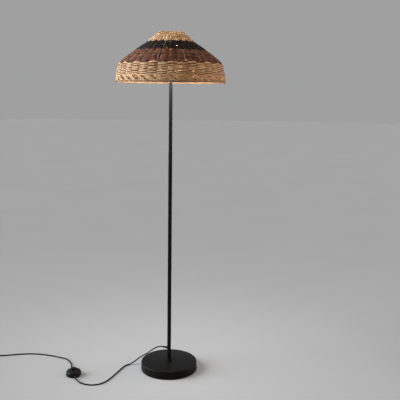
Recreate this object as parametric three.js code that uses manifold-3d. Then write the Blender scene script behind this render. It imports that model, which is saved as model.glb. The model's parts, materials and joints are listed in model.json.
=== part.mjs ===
// Rattan floor lamp: a woven cane dome on a black steel pole with a round weighted base,
// and a black cord with a foot switch and a plug. Millimetres, +Z up. The origin is the centre
// of the base's underside, on the floor, and -Y is the side that faces the viewer.

import * as THREE from 'three';
import { mergeVertices } from 'three/addons/utils/BufferGeometryUtils.js';
import Module from 'manifold-3d';

const wasm = await Module();
wasm.setup();

// Fits
const fit = 0.3;                    // gap between two pieces that meet
const overrun = 3;                  // how far a cutter passes the faces that it cuts
const weldDistance = 0.0005;        // points nearer than this are one point

// Facet counts
const dishFacets = 36;
const shadeFacets = 36;
const switchFacets = 24;
const poleFacets = 16;
const holderFacets = 18;
const smallFacets = 10;
const rollSides = 8;
const wireSides = 6;
const armSteps = 8;
const arcSteps = 3;
const domeSteps = 4;
const bandSteps = 2;
const shoulderSteps = 4;            // even, because the shoulder's middle parts two bands
const nutSides = 6;
const plugCurveSteps = 5;
const plugEdgeSteps = 2;

// Base
const baseRadius = 125;
const baseHeight = 36;
const baseEdgeRadius = 4;
const coverWall = 1.5;
const coverLift = 1;                // the cover's lower edge stays this far off the floor
const padThickness = 3;
const weightChamfer = 2;
const recessRadius = 22;
const recessDepth = 14;

// Stud that clamps the pole to the base
const studRadius = 5;
const studChamfer = 0.8;
const studTail = 1.2;               // thread that shows under the nut
const studReach = 20;               // thread inside the pole's foot bush
const nutAcrossFlats = 17;
const nutHeight = 8;
const washerRadius = 17;
const washerThickness = 2;

// Foot of the pole
const collarRadius = 15;
const collarHeight = 5;
const collarEdgeRadius = 1.6;
const sleeveRadius = 10.3;
const sleeveHeight = 45;
const sleeveTaper = 9;              // length of the sleeve's narrowing top
const sleeveLip = 0.4;              // wall left at the sleeve's top edge

// Pole
const poleRadius = 8.5;
const upperPoleRadius = 8;
const tubeWall = 1.2;
const tubeChamfer = 0.5;
const lowerPoleLength = 471;
const middlePoleLength = 474;
const upperPoleLength = 339;
const footBushLength = 24;
const joinerLength = 60;
const topBushDepth = 18;
const topBushFlange = 2.5;
const nippleInBush = 12;
const nippleInCap = 9;
const leadClearance = 0.5;          // room round the lead in every bore that it runs through

// Lampholder
const capFootRadius = 9.5;
const capHeight = 20;
const capWall = 2;
const holderRadius = 20;
const holderHeight = 47;
const holderBore = 14.6;
const holderLedgeThickness = 2;
const holderLedgeHole = 9;
const holderLeadIn = 1;             // chamfer at the holder's mouth
const insertHeight = 10;
const contactRadius = 4;
const contactThickness = 1.2;
const linerWall = 0.6;
const linerHeight = 24;
const shadeRingSeat = 18;           // lower shade ring's height above the holder's lower end
const shadeRingHeight = 8;
const shadeRingRadius = 24.5;
const shadeRingFlangeRadius = 28.5;
const shadeRingFlange = 3;

// Bulb
const bulbRadius = 30;
const bulbGlassHeight = 74;
const bulbNeckRadius = 13.4;
const bulbNeckHeight = 5;
const bulbGlassWall = 1;
const bulbCollarHeight = 14;
const bulbCapRadius = 13.1;
const bulbCapHeight = 21;
const bulbThreadDepth = 0.8;
const bulbThreads = 5;
const bulbTipRadius = 4.5;
const bulbTipHeight = 2.3;

// Wire spider and rim hoop
const spiderWireRadius = 2;
const hoopWireRadius = 1.8;
const spiderArms = 3;
const hubThickness = 3;
const hubMargin = 2.5;              // hub's reach past the shade rings' flanges
const armWeld = 1.2;                // arm's overlap with the hub
const armSweep = 18;                // how far an arm runs outward before it turns up
const armTurn = 50;                 // height over which it turns up
const spiderRise = 111.3;           // hub's middle to the top wire ring

// Woven shade, by its outer outline
const shadeWall = 6;
const topRadius = 56;
const topRollRadius = 4.5;
const crownFootRadius = 107;
const crownHeight = 47;
const blackFootRadius = 157;
const blackHeight = 34.5;
const brownHeight = 53.5;
const shoulderReach = 14;           // length of each side of the rounded shoulder
const rimRadius = 240;
const rimFlare = 15;                // how far the rim stands out past the shoulder
const rimRollRadius = 5;
const skirtHeight = 83;
const bandBulge = 1.5;
const firstRibbedBand = 1;          // the crown, band 0, is too loose to show its stakes
const ribCrest = 0.7;               // over a stake, past the band's outer line
const ribHollow = 2.1;              // midway between two stakes, short of that line

// Cord, its bush on the pole and its boots
const cordRadius = 2.75;
const cordSides = 8;
const cordLift = 0.1;               // keeps the facets clear of the floor
const cordStepDiameters = 3;        // length of one step of a free cord, in cord diameters
const divisionsPerPoint = 50;       // for measuring a cord's length
const exitHeight = 95;
const exitHeading = 159;            // degrees from +X, towards the back left
const bushPlugRadius = 3.9;
const bushPlugDepth = 2.5;
const bushFlangeRadius = 5.6;
const bushFlangeThickness = 1.8;
const bootLength = 22;
const bootRootRadius = 4.4;
const bootTipRadius = 3.3;
const bootTipRound = 0.6;

// Foot switch
const switchX = -420;
const switchY = -55;
const switchHeading = 105;          // degrees from +X, the way the cord passes through
const switchRadius = 33;
const switchHeight = 27;
const switchParting = 10;           // height of the joint between its shells, and of its cord
const switchSide = 3;               // straight part of the cover's side
const switchTopRadius = 15;
const switchWall = 2.4;
const switchFootChamfer = 2;
const switchPadThickness = 1.5;
const switchPadInset = 3;
const switchPadWidth = 6;
const buttonRadius = 11;
const buttonRise = 8;
const buttonCrown = 2;
const buttonTravel = 4;
const buttonLip = 2.2;              // reach of the lip that holds the button in
const buttonLipThickness = 2.6;
const buttonStemRadius = 3;
const buttonStop = 0.6;             // gap left over the module when the button is down
const moduleLength = 22;
const moduleWidth = 18;
const moduleBoreDepth = 9.5;
const terminalLength = 6;
const terminalWidth = 12;
const terminalHeight = 7;
const switchBossRadius = 4.2;
const switchBossPlace = 22;         // bosses' distance from the middle
const switchBossTop = 22;
const screwRadius = 1.4;
const screwHeadRadius = 2.8;
const screwHeadHeight = 1.6;
const screwLength = 14;
const gripThickness = 2.8;          // flange on a boot's inner end
const gripInset = 1.2;              // its distance from the shells' wall

// Plug
const plugX = -893;
const plugY = 40;
const plugHeading = -90;            // degrees from +X, the way its pins point
const plugThickness = 13.7;
const plugWidth = 35.3;
const plugTailWidth = 15;
const plugLength = 36;
const plugWaistShare = 1 / 3;       // of its length, where its sides' curves pull towards
const plugFlareShare = 0.7;         // of its length, where its sides run straight
const plugEdge = 2;
const plugFrontRadius = 6;
const pinRadius = 2;
const pinLength = 19;
const pinRoot = 6;
const pinSpacing = 18.6;

// Coil of cord past the left edge of the view
const coilX = -856;
const coilY = 122;
const coilMiddleRadius = 31;
const coilGap = 0.7;                // clear space between turns, and between layers
const coilTurns = 4.25;
const coilClimbTurns = 0.5;         // the climb from the first layer to the second
const coilStepsPerTurn = 24;
const coilSides = 6;
const tieThickness = 0.8;
const tieWidth = 8;
const tiePlace = -45;               // degrees from +X

// Routes of the free cord, by hand: on its way from the pole to the switch, from the switch
// to the coil, and from the coil to the plug
const routeToSwitch = [
  [-48, 18.4, 92.3], [-60, 23, 86], [-74, 28.6, 75.5], [-89, 34.5, 62.5], [-104, 40, 50.5],
  [-119, 44.5, 40.6], [-137, 46, 28.5], [-156, 43.5, 14.5], [-174, 38, 5.6], [-193, 29, 2.85],
  [-210, 4, 2.85], [-226, -33, 2.85], [-241, -66, 2.85], [-257, -100, 2.85],
  [-275, -131, 2.85], [-300, -152, 2.85], [-330, -159, 2.85], [-358, -152, 2.95],
  [-380, -138.5, 4.3], [-395, -124.5, 7.3],
];
const routeToCoil = [
  [-438.5, 17, 7.5], [-440.5, 32, 4.2], [-442.5, 47, 2.95], [-447, 62, 2.85], [-453.5, 77, 2.85],
  [-464, 97, 2.85], [-482, 115, 2.85], [-504, 127, 2.85], [-534, 143, 2.85], [-569, 158, 2.85],
  [-610, 171, 2.85], [-655, 177, 2.85], [-700, 174, 2.85], [-745, 167, 2.9], [-790, 161.5, 3.2],
];
const routeToPlug = [[-893.5, 104, 9.6], [-893.3, 92, 8.5], [-893.1, 80, 7.4]];

// Finishes: colour, roughness and metalness
const finishes = {
  blackPaint: [0x1b1c1c, 0.45, 0.2],
  zinc: [0x9a9c9e, 0.4, 0.9],
  brass: [0xb08d4c, 0.35, 0.9],
  cast: [0x77746f, 0.9, 0],
  felt: [0x1d1d1d, 0.95, 0],
  blackPlastic: [0x17181a, 0.3, 0],
  cordBlack: [0x18191a, 0.55, 0],
  ceramic: [0xdedbd2, 0.5, 0],
  opalGlass: [0xfff3df, 0.25, 0],
  whitePlastic: [0xe6e4df, 0.45, 0],
  naturalCane: [0xc9a072, 0.7, 0],
  blackCane: [0x34302c, 0.75, 0],
  brownCane: [0x6d4738, 0.72, 0],
  wire: [0x202122, 0.45, 0.5],
};

// Heights that the pieces stack up to
const baseTop = baseHeight;
const coverUnderside = baseTop - coverWall;
const weightBottom = padThickness + fit;
const weightTop = coverUnderside - fit;
const recessTop = weightBottom + recessDepth;
const washerTop = recessTop - fit;
const nutTop = washerTop - washerThickness - fit;
const nutBottom = nutTop - nutHeight;
const collarBottom = baseTop + fit;
const collarTop = collarBottom + collarHeight;
const poleFoot = collarTop + fit;
const lowerPoleTop = poleFoot + lowerPoleLength;
const middlePoleTop = lowerPoleTop + fit + middlePoleLength;
const upperPoleTop = middlePoleTop + fit + upperPoleLength;
const flangeTop = upperPoleTop + fit + topBushFlange;
const capBottom = flangeTop + fit;
const capTop = capBottom + capHeight;
const holderBottom = capTop + fit;
const holderTop = holderBottom + holderHeight;
const insertBottom = holderBottom + holderLedgeThickness + fit;
const contactBottom = insertBottom + insertHeight + fit;
const bulbTipBottom = contactBottom + contactThickness + fit;
const bulbCapBottom = bulbTipBottom + bulbTipHeight + fit;
const bulbCollarBottom = bulbCapBottom + bulbCapHeight + fit;
const bulbGlassBottom = bulbCollarBottom + bulbCollarHeight + fit;
const lowerRingBottom = holderBottom + shadeRingSeat;
const hubBottom = lowerRingBottom + shadeRingHeight + fit;
const hubMiddle = hubBottom + hubThickness / 2;
const upperRingBottom = hubBottom + hubThickness + fit;
const topRingHeight = hubMiddle + spiderRise;
const topRollHeight = topRingHeight + spiderWireRadius + fit + topRollRadius;
const shadeTop = topRollHeight + topRollRadius;
const crownFoot = shadeTop - crownHeight;
const blackFoot = crownFoot - blackHeight;
const brownFoot = blackFoot - brownHeight;
const shadeBottom = brownFoot - skirtHeight;
const shoulderRadius = rimRadius - rimFlare;
const cordDiameter = 2 * cordRadius;
const leadBore = cordRadius + leadClearance;

// Points and directions

const point = (radius, height) => new THREE.Vector2(radius, height);
const spot = (x, y, z) => new THREE.Vector3(x, y, z);
const degrees = (angle) => THREE.MathUtils.degToRad(angle);
const heading = (angle) => spot(Math.cos(degrees(angle)), Math.sin(degrees(angle)), 0);

// An arc of an outline round a centre, between two angles in degrees
function arc(centre, radius, from, to, steps = arcSteps) {
  const points = [];
  for (let i = 0; i <= steps; i += 1) {
    const angle = degrees(from + ((to - from) * i) / steps);
    points.push(point(centre.x + radius * Math.cos(angle), centre.y + radius * Math.sin(angle)));
  }
  return points;
}

// The same line, moved sideways to its right, with points on the axis kept there
function beside(line, distance) {
  return line.map((here, i) => {
    const ahead = line[Math.min(i + 1, line.length - 1)];
    const behind = line[Math.max(i - 1, 0)];
    const along = ahead.clone().sub(behind).normalize();
    const moved = point(here.x + along.y * distance, here.y - along.x * distance);
    return here.x === 0 ? point(0, moved.y) : moved;
  });
}

// Outline of a wall: an outer line drawn upward, and the same line one wall further in
function wallOutline(outer, wall) {
  return [...outer, ...beside(outer, -wall).reverse()];
}

// Outline of a ring or a tube, with chamfers on its outer edges
function ringOutline(inner, outer, bottom, top, lowerChamfer = 0, upperChamfer = 0) {
  const points = [point(inner, bottom), point(outer - lowerChamfer, bottom)];
  if (lowerChamfer > 0) points.push(point(outer, bottom + lowerChamfer));
  if (upperChamfer > 0) points.push(point(outer, top - upperChamfer));
  points.push(point(outer - upperChamfer, top), point(inner, top));
  return points;
}

// Solids

// Keeps one copy of each shared point and drops the flat triangles that a revolve leaves
function weld(geometry) {
  const bare = new THREE.BufferGeometry();
  bare.setAttribute('position', geometry.getAttribute('position'));
  if (geometry.index) bare.setIndex(geometry.index);
  const merged = mergeVertices(bare, weldDistance);
  const corners = merged.index.array;
  const kept = [];
  for (let i = 0; i < corners.length; i += 3) {
    const [a, b, c] = [corners[i], corners[i + 1], corners[i + 2]];
    if (a !== b && b !== c && c !== a) kept.push(a, b, c);
  }
  merged.setIndex(kept);
  return merged;
}

function toSolid(geometry) {
  const welded = weld(geometry);
  return new wasm.Manifold(new wasm.Mesh({
    numProp: 3,
    vertProperties: Float32Array.from(welded.getAttribute('position').array),
    triVerts: Uint32Array.from(welded.index.array),
  }));
}

function toGeometry(solid) {
  const mesh = solid.getMesh();
  const geometry = new THREE.BufferGeometry();
  geometry.setAttribute('position', new THREE.BufferAttribute(Float32Array.from(mesh.vertProperties), 3));
  geometry.setIndex(Array.from(mesh.triVerts));
  return geometry;
}

function cut(geometry, ...tools) {
  let solid = toSolid(geometry);
  for (const tool of tools) solid = solid.subtract(toSolid(tool));
  return toGeometry(solid);
}

function join(...geometries) {
  let solid = toSolid(geometries[0]);
  for (const other of geometries.slice(1)) solid = solid.add(toSolid(other));
  return toGeometry(solid);
}

function keepInside(geometry, limit) {
  return toGeometry(toSolid(geometry).intersect(toSolid(limit)));
}

// Revolves an outline about Z; an outline off the axis closes on itself
function turn(outline, facets) {
  const first = outline[0];
  const last = outline[outline.length - 1];
  const onAxis = first.x === 0 && last.x === 0;
  const closed = onAxis ? outline : [...outline, first.clone()];
  return new THREE.LatheGeometry(closed, facets).rotateX(Math.PI / 2);
}

// The same about X, for pieces that lie along the cord
function turnAlongX(outline, facets) {
  return turn(outline, facets).rotateY(Math.PI / 2);
}

// A round bar on Z between two heights
function bar(radius, bottom, top, facets = smallFacets) {
  return turn([point(0, bottom), point(radius, bottom), point(radius, top), point(0, top)], facets);
}

function barAlongX(radius, from, to, facets = smallFacets) {
  return bar(radius, from, to, facets).rotateY(Math.PI / 2);
}

// A block with a given base centre
function block(length, width, height, bottom) {
  return new THREE.BoxGeometry(length, width, height).translate(0, 0, bottom + height / 2);
}

function wireRing(radius, wire, height, facets, sides = wireSides) {
  return new THREE.TorusGeometry(radius, wire, sides, facets).translate(0, 0, height);
}

function roundSection(radius, sides) {
  const section = new THREE.Shape();
  for (let i = 0; i < sides; i += 1) {
    const angle = (2 * Math.PI * i) / sides;
    const [x, y] = [radius * Math.cos(angle), radius * Math.sin(angle)];
    if (i === 0) section.moveTo(x, y);
    else section.lineTo(x, y);
  }
  section.closePath();
  return section;
}

function tubeAlong(path, radius, sides, steps) {
  return new THREE.ExtrudeGeometry(roundSection(radius, sides), { steps, extrudePath: path });
}

function part(name, geometry, finish) {
  const [color, roughness, metalness] = finishes[finish];
  const shape = weld(geometry);
  shape.computeVertexNormals();
  const mesh = new THREE.Mesh(shape, new THREE.MeshStandardMaterial({ color, roughness, metalness }));
  mesh.name = name;
  return mesh;
}

// Base: pad, cast weight, drawn cover, and the stud that clamps the pole to them

function basePad() {
  const radius = baseRadius - coverWall - fit;
  return part('base_pad', bar(radius, 0, padThickness, dishFacets), 'felt');
}

function baseWeight() {
  const radius = baseRadius - coverWall - fit;
  const bore = studRadius + fit;
  const outline = [
    point(recessRadius, weightBottom),
    point(radius, weightBottom),
    point(radius, weightTop - weightChamfer - baseEdgeRadius),
    point(radius - weightChamfer - baseEdgeRadius, weightTop),
    point(bore, weightTop),
    point(bore, recessTop),
    point(recessRadius, recessTop),
  ];
  return part('base_weight', turn(outline, dishFacets), 'cast');
}

function baseCover() {
  const edgeCentre = point(baseRadius - baseEdgeRadius, baseTop - baseEdgeRadius);
  const innerEdge = baseEdgeRadius - coverWall;
  const bore = studRadius + fit;
  const outline = [
    point(baseRadius, coverLift),
    ...arc(edgeCentre, baseEdgeRadius, 0, 90),
    point(bore, baseTop),
    point(bore, coverUnderside),
    ...arc(edgeCentre, innerEdge, 90, 0),
    point(baseRadius - coverWall, coverLift),
  ];
  return part('base_cover', turn(outline, dishFacets), 'blackPaint');
}

function baseStud() {
  const bottom = nutBottom - studTail;
  const top = poleFoot + studReach;
  const outline = [
    point(0, bottom),
    point(studRadius - studChamfer, bottom),
    point(studRadius, bottom + studChamfer),
    point(studRadius, top - studChamfer),
    point(studRadius - studChamfer, top),
    point(0, top),
  ];
  return part('base_stud', turn(outline, smallFacets), 'zinc');
}

function studWasher() {
  const outline = ringOutline(studRadius + fit, washerRadius, washerTop - washerThickness, washerTop);
  return part('stud_washer', turn(outline, holderFacets), 'zinc');
}

// A hexagon nut: a chamfered disc kept inside a hexagon, with its bore cut out
function studNut() {
  const cornerRadius = nutAcrossFlats / Math.sqrt(3);
  const chamfer = cornerRadius - nutAcrossFlats / 2;
  const disc = turn([
    point(0, nutBottom),
    point(cornerRadius - chamfer, nutBottom),
    point(cornerRadius, nutBottom + chamfer),
    point(cornerRadius, nutTop),
    point(0, nutTop),
  ], holderFacets);
  const hexagon = bar(cornerRadius, nutBottom - overrun, nutTop + overrun, nutSides);
  const bore = bar(studRadius + fit, nutBottom - overrun, nutTop + overrun);
  return part('stud_nut', cut(keepInside(disc, hexagon), bore), 'zinc');
}

function baseAssembly() {
  const group = new THREE.Group();
  group.add(basePad(), baseWeight(), baseCover(), baseStud(), studWasher(), studNut());
  return group;
}

// Pole: collar, sleeve, three tubes, and the bushes and joiners inside them

function footCollar() {
  const edgeCentre = point(collarRadius - collarEdgeRadius, collarTop - collarEdgeRadius);
  const outline = [
    point(studRadius + fit, collarBottom),
    point(collarRadius, collarBottom),
    ...arc(edgeCentre, collarEdgeRadius, 0, 90),
    point(studRadius + fit, collarTop),
  ];
  return part('foot_collar', turn(outline, holderFacets), 'blackPaint');
}

function footSleeve() {
  const bore = poleRadius + fit;
  const top = poleFoot + sleeveHeight;
  const outline = [
    point(bore, poleFoot),
    point(sleeveRadius, poleFoot),
    point(sleeveRadius, top - sleeveTaper),
    point(bore + sleeveLip, top),
    point(bore, top),
  ];
  return part('foot_sleeve', turn(outline, holderFacets), 'blackPaint');
}

function poleTube(name, radius, bottom, length, ...holes) {
  const inner = radius - tubeWall;
  const outline = ringOutline(inner, radius, bottom, bottom + length, tubeChamfer, tubeChamfer);
  const tube = turn(outline, poleFacets);
  return part(name, holes.length ? cut(tube, ...holes) : tube, 'blackPaint');
}

// Where the cord leaves the lowest tube
function exitHole() {
  return barAlongX(bushPlugRadius + fit, 0, poleRadius + overrun)
    .rotateZ(degrees(exitHeading))
    .translate(0, 0, exitHeight);
}

function footBush() {
  const radius = poleRadius - tubeWall - fit;
  const outline = ringOutline(studRadius + fit, radius, poleFoot, poleFoot + footBushLength);
  return part('foot_bush', turn(outline, poleFacets), 'zinc');
}

// A threaded joiner whose two halves fit the tubes below and above the joint
function poleJoiner(name, joint, radiusBelow, radiusAbove) {
  const lower = radiusBelow - tubeWall - fit;
  const upper = radiusAbove - tubeWall - fit;
  const bottom = joint - joinerLength / 2;
  const top = joint + joinerLength / 2;
  const outline = [point(leadBore, bottom), point(lower, bottom), point(lower, joint - fit)];
  outline.push(point(upper, joint), point(upper, top), point(leadBore, top));
  return part(name, turn(outline, poleFacets), 'zinc');
}

function topBush() {
  const plug = upperPoleRadius - tubeWall - fit;
  const bore = studRadius + fit;
  const outline = [
    point(bore, upperPoleTop - topBushDepth),
    point(plug, upperPoleTop - topBushDepth),
    point(plug, upperPoleTop + fit),
    point(upperPoleRadius, upperPoleTop + fit),
    point(upperPoleRadius, flangeTop),
    point(bore, flangeTop),
  ];
  return part('top_bush', turn(outline, poleFacets), 'zinc');
}

function poleAssembly() {
  const group = new THREE.Group();
  group.add(
    footCollar(),
    footSleeve(),
    poleTube('pole_lower', poleRadius, poleFoot, lowerPoleLength, exitHole()),
    poleTube('pole_middle', poleRadius, lowerPoleTop + fit, middlePoleLength),
    poleTube('pole_upper', upperPoleRadius, middlePoleTop + fit, upperPoleLength),
    footBush(),
    poleJoiner('pole_joiner_lower', lowerPoleTop, poleRadius, poleRadius),
    poleJoiner('pole_joiner_upper', middlePoleTop, poleRadius, upperPoleRadius),
    topBush(),
  );
  return group;
}

// Lampholder on its hollow nipple, with the rings that clamp the shade

function holderNipple() {
  const bottom = upperPoleTop - nippleInBush;
  const top = capBottom + capWall + nippleInCap;
  const outline = ringOutline(leadBore, studRadius, bottom, top, studChamfer, studChamfer);
  return part('holder_nipple', turn(outline, smallFacets), 'zinc');
}

// A bell that opens upward from the nipple to the holder
function holderCap() {
  const rise = capHeight - capWall;
  const swell = new THREE.QuadraticBezierCurve(
    point(capFootRadius, capBottom),
    point(holderRadius, capBottom),
    point(holderRadius, capBottom + rise),
  );
  const outer = [...swell.getPoints(arcSteps), point(holderRadius, capTop)];
  const inner = beside(outer, -capWall).reverse();
  const floor = capBottom + capWall;
  const bore = studRadius + fit;
  const hollow = inner.filter((each) => each.y > floor);
  const outline = [point(bore, capBottom), ...outer, ...hollow];
  outline.push(point(capFootRadius, floor), point(bore, floor));
  return part('holder_cap', turn(outline, holderFacets), 'blackPlastic');
}

function holderBody() {
  const outline = [
    point(holderLedgeHole, holderBottom),
    point(holderRadius, holderBottom),
    point(holderRadius, holderTop),
    point(holderBore + holderLeadIn, holderTop),
    point(holderBore, holderTop - holderLeadIn),
    point(holderBore, holderBottom + holderLedgeThickness),
    point(holderLedgeHole, holderBottom + holderLedgeThickness),
  ];
  return part('holder_body', turn(outline, holderFacets), 'blackPlastic');
}

function holderInsert() {
  const radius = holderBore - fit;
  const insert = bar(radius, insertBottom, insertBottom + insertHeight, holderFacets);
  return part('holder_insert', insert, 'ceramic');
}

function holderContact() {
  return part('holder_contact', bar(contactRadius, contactBottom, contactBottom + contactThickness), 'brass');
}

function holderLiner() {
  const outer = holderBore - fit;
  const bottom = insertBottom + insertHeight + fit;
  const outline = ringOutline(outer - linerWall, outer, bottom, bottom + linerHeight);
  return part('holder_liner', turn(outline, holderFacets), 'brass');
}

// A shade ring: its flange bears on the hub, below it or above it
function shadeRing(name, bottom, flangeOnTop) {
  const bore = holderRadius + fit;
  const top = bottom + shadeRingHeight;
  const step = flangeOnTop ? top - shadeRingFlange : bottom + shadeRingFlange;
  const lowerRadius = flangeOnTop ? shadeRingRadius : shadeRingFlangeRadius;
  const upperRadius = flangeOnTop ? shadeRingFlangeRadius : shadeRingRadius;
  const outline = [
    point(bore, bottom),
    point(lowerRadius, bottom),
    point(lowerRadius, step),
    point(upperRadius, step),
    point(upperRadius, top),
    point(bore, top),
  ];
  return part(name, turn(outline, holderFacets), 'blackPlastic');
}

function holderAssembly() {
  const group = new THREE.Group();
  group.add(
    holderNipple(),
    holderCap(),
    holderBody(),
    holderInsert(),
    holderContact(),
    holderLiner(),
    shadeRing('shade_ring_lower', lowerRingBottom, true),
    shadeRing('shade_ring_upper', upperRingBottom, false),
  );
  return group;
}

// Bulb: opal glass on a moulded collar, with its screw cap and centre contact

function bulbGlass() {
  const top = bulbGlassBottom + bulbGlassHeight;
  const centre = point(0, top - bulbRadius);
  const flank = new THREE.CubicBezierCurve(
    point(bulbNeckRadius, bulbGlassBottom + bulbNeckHeight),
    point(bulbNeckRadius, bulbGlassBottom + bulbNeckHeight + bulbNeckRadius),
    point(bulbRadius, centre.y - bulbNeckRadius),
    point(bulbRadius, centre.y),
  );
  const outer = [point(bulbNeckRadius, bulbGlassBottom), ...flank.getPoints(arcSteps)];
  outer.push(...arc(centre, bulbRadius, 0, 90, arcSteps + 1).slice(1, -1), point(0, top));
  return part('bulb_glass', turn(wallOutline(outer, bulbGlassWall), holderFacets), 'opalGlass');
}

function bulbCollar() {
  const top = bulbCollarBottom + bulbCollarHeight;
  const outline = [
    point(0, bulbCollarBottom),
    point(bulbCapRadius - bulbThreadDepth, bulbCollarBottom),
    point(bulbNeckRadius, bulbCollarBottom + bulbThreadDepth),
    point(bulbNeckRadius, top),
    point(0, top),
  ];
  return part('bulb_collar', turn(outline, holderFacets), 'whitePlastic');
}

// Screw cap: rounded thread crests between two short cylinders
function bulbCap() {
  const root = bulbCapRadius - bulbThreadDepth;
  const outline = [point(0, bulbCapBottom), point(bulbTipRadius + bulbThreadDepth, bulbCapBottom)];
  const pitch = (bulbCapHeight - 2 * bulbThreadDepth) / (bulbThreads + 0.5);
  for (let i = 0; i < bulbThreads; i += 1) {
    const foot = bulbCapBottom + bulbThreadDepth + pitch * (i + 0.5);
    outline.push(point(root, foot), point(bulbCapRadius, foot + pitch / 2));
  }
  const top = bulbCapBottom + bulbCapHeight;
  outline.push(point(root, top - bulbThreadDepth), point(root, top), point(0, top));
  return part('bulb_cap', turn(outline, poleFacets), 'brass');
}

function bulbContact() {
  const top = bulbTipBottom + bulbTipHeight;
  const outline = [
    point(0, bulbTipBottom),
    point(bulbTipRadius - bulbTipHeight / 2, bulbTipBottom),
    point(bulbTipRadius, top),
    point(0, top),
  ];
  return part('bulb_contact', turn(outline, smallFacets), 'zinc');
}

function bulbAssembly() {
  const group = new THREE.Group();
  group.add(bulbGlass(), bulbCollar(), bulbCap(), bulbContact());
  return group;
}

// Shade: four woven bands on one outline, two rolled borders and the wire that carries them

const bandNames = ['weave_crown', 'weave_black', 'weave_brown', 'weave_skirt'];
const bandFinishes = ['naturalCane', 'blackCane', 'brownCane', 'naturalCane'];
const topRollCentre = point(topRadius - topRollRadius, topRollHeight);
const rimRollCentre = point(rimRadius - rimRollRadius, shadeBottom + rimRollRadius);

// A line between two points of the outline that swells outward a little
function swell(from, to) {
  const along = to.clone().sub(from).normalize();
  const middle = from.clone().add(to).multiplyScalar(0.5);
  const control = point(middle.x - along.y * 2 * bandBulge, middle.y + along.x * 2 * bandBulge);
  return new THREE.QuadraticBezierCurve(from, control, to).getPoints(bandSteps);
}

// The outer line of every band, drawn downward from the top border to the rim
function bandLines() {
  const halfWall = shadeWall / 2;
  const crownEnd = point(crownFootRadius, crownFoot);
  const blackEnd = point(blackFootRadius, blackFoot);
  const shoulder = point(shoulderRadius, brownFoot);
  const down = crownEnd.clone().sub(topRollCentre).normalize();
  const top = point(topRollCentre.x - down.y * halfWall, topRollCentre.y + down.x * halfWall);
  const out = rimRollCentre.clone().sub(shoulder).normalize();
  const rim = point(rimRollCentre.x - out.y * halfWall, rimRollCentre.y + out.x * halfWall);
  const before = shoulder.clone().add(blackEnd.clone().sub(shoulder).setLength(shoulderReach));
  const after = shoulder.clone().add(rim.clone().sub(shoulder).setLength(shoulderReach));
  const round = new THREE.QuadraticBezierCurve(before, shoulder, after).getPoints(shoulderSteps);
  const middle = shoulderSteps / 2;
  return [
    swell(top, crownEnd),
    swell(crownEnd, blackEnd),
    [...swell(blackEnd, before), ...round.slice(1, middle + 1)],
    [...round.slice(middle), ...swell(after, rim).slice(1)],
  ];
}

// Outer and inner lines of the bands, offset together so that their end faces match
function bandWalls() {
  const lines = bandLines();
  const whole = lines.reduce((all, line) => [...all, ...(all.length ? line.slice(1) : line)], []);
  const inside = beside(whole, shadeWall);
  let start = 0;
  return lines.map((line) => {
    const stop = start + line.length;
    const wall = { outer: whole.slice(start, stop), inner: inside.slice(start, stop) };
    start = stop - 1;
    return wall;
  });
}

// Pulls one end of a band back along its line, to leave half a fit to the next band
function trimEnd(line, end) {
  const inward = line[end === 0 ? 1 : end - 1].clone().sub(line[end]).normalize();
  line[end] = line[end].clone().add(inward.multiplyScalar(fit / 2));
}

// A band's shell with ribs where the weavers ride over the stakes. Its crests stand on the
// corners that the plain bands have, and its hollows midway along the edges between them.
function ribbedShell(outer, inner) {
  const outline = [...outer].reverse().concat(inner);
  const shell = turn(outline, 2 * shadeFacets);
  const places = shell.getAttribute('position');
  const ring = outline.length + 1;
  const midwayShare = Math.cos(Math.PI / shadeFacets);
  for (let i = 0; i < places.count; i += 1) {
    const midway = Math.floor(i / ring) % 2 === 1;
    const k = outer.length - 1 - ((i % ring) % outline.length);
    const outward = k < 0 ? point(0, 0) : outer[k].clone().sub(inner[k]).normalize();
    outward.multiplyScalar(midway ? -ribHollow : ribCrest);
    const radius = Math.hypot(places.getX(i), places.getY(i));
    const share = (radius * (midway ? midwayShare : 1) + outward.x) / radius;
    const height = places.getZ(i) + outward.y;
    places.setXYZ(i, places.getX(i) * share, places.getY(i) * share, height);
  }
  return shell;
}

function weaveBand(index, wall, ...cutters) {
  const outer = [...wall.outer];
  const inner = [...wall.inner];
  for (const line of [outer, inner]) {
    if (index > 0) trimEnd(line, 0);
    if (index < bandNames.length - 1) trimEnd(line, line.length - 1);
  }
  const shell = index < firstRibbedBand
    ? turn([...outer].reverse().concat(inner), shadeFacets)
    : ribbedShell(outer, inner);
  const geometry = cutters.length ? cut(shell, ...cutters) : shell;
  return part(bandNames[index], geometry, bandFinishes[index]);
}

// Radius at which a wire of a given reach lies against the inner line, at a height
function seatInside(line, height, reach) {
  const last = line.length - 2;
  const i = Math.min(line.findIndex((each, k) => k <= last && line[k + 1].y <= height), last);
  const [high, low] = [line[i], line[i + 1]];
  const share = (high.y - height) / (high.y - low.y);
  const face = high.x + (low.x - high.x) * share;
  return face - (reach * high.distanceTo(low)) / (high.y - low.y);
}

function shadeSpider(topRingRadius) {
  const hubRadius = shadeRingFlangeRadius + hubMargin;
  const hubOutline = ringOutline(holderRadius + fit, hubRadius, hubBottom, hubBottom + hubThickness);
  const hub = turn(hubOutline, holderFacets);
  const ring = wireRing(topRingRadius, spiderWireRadius, topRingHeight, shadeFacets);
  const arms = [];
  for (let i = 0; i < spiderArms; i += 1) {
    const start = hubRadius - armWeld;
    const path = new THREE.CubicBezierCurve3(
      spot(start, 0, hubMiddle),
      spot(start + armSweep, 0, hubMiddle),
      spot(topRingRadius, 0, hubMiddle + armTurn),
      spot(topRingRadius, 0, topRingHeight),
    );
    const arm = tubeAlong(path, spiderWireRadius, wireSides, armSteps);
    arms.push(arm.rotateZ(Math.PI / 2 + (2 * Math.PI * i) / spiderArms));
  }
  return part('shade_spider', join(hub, ring, ...arms), 'wire');
}

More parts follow.
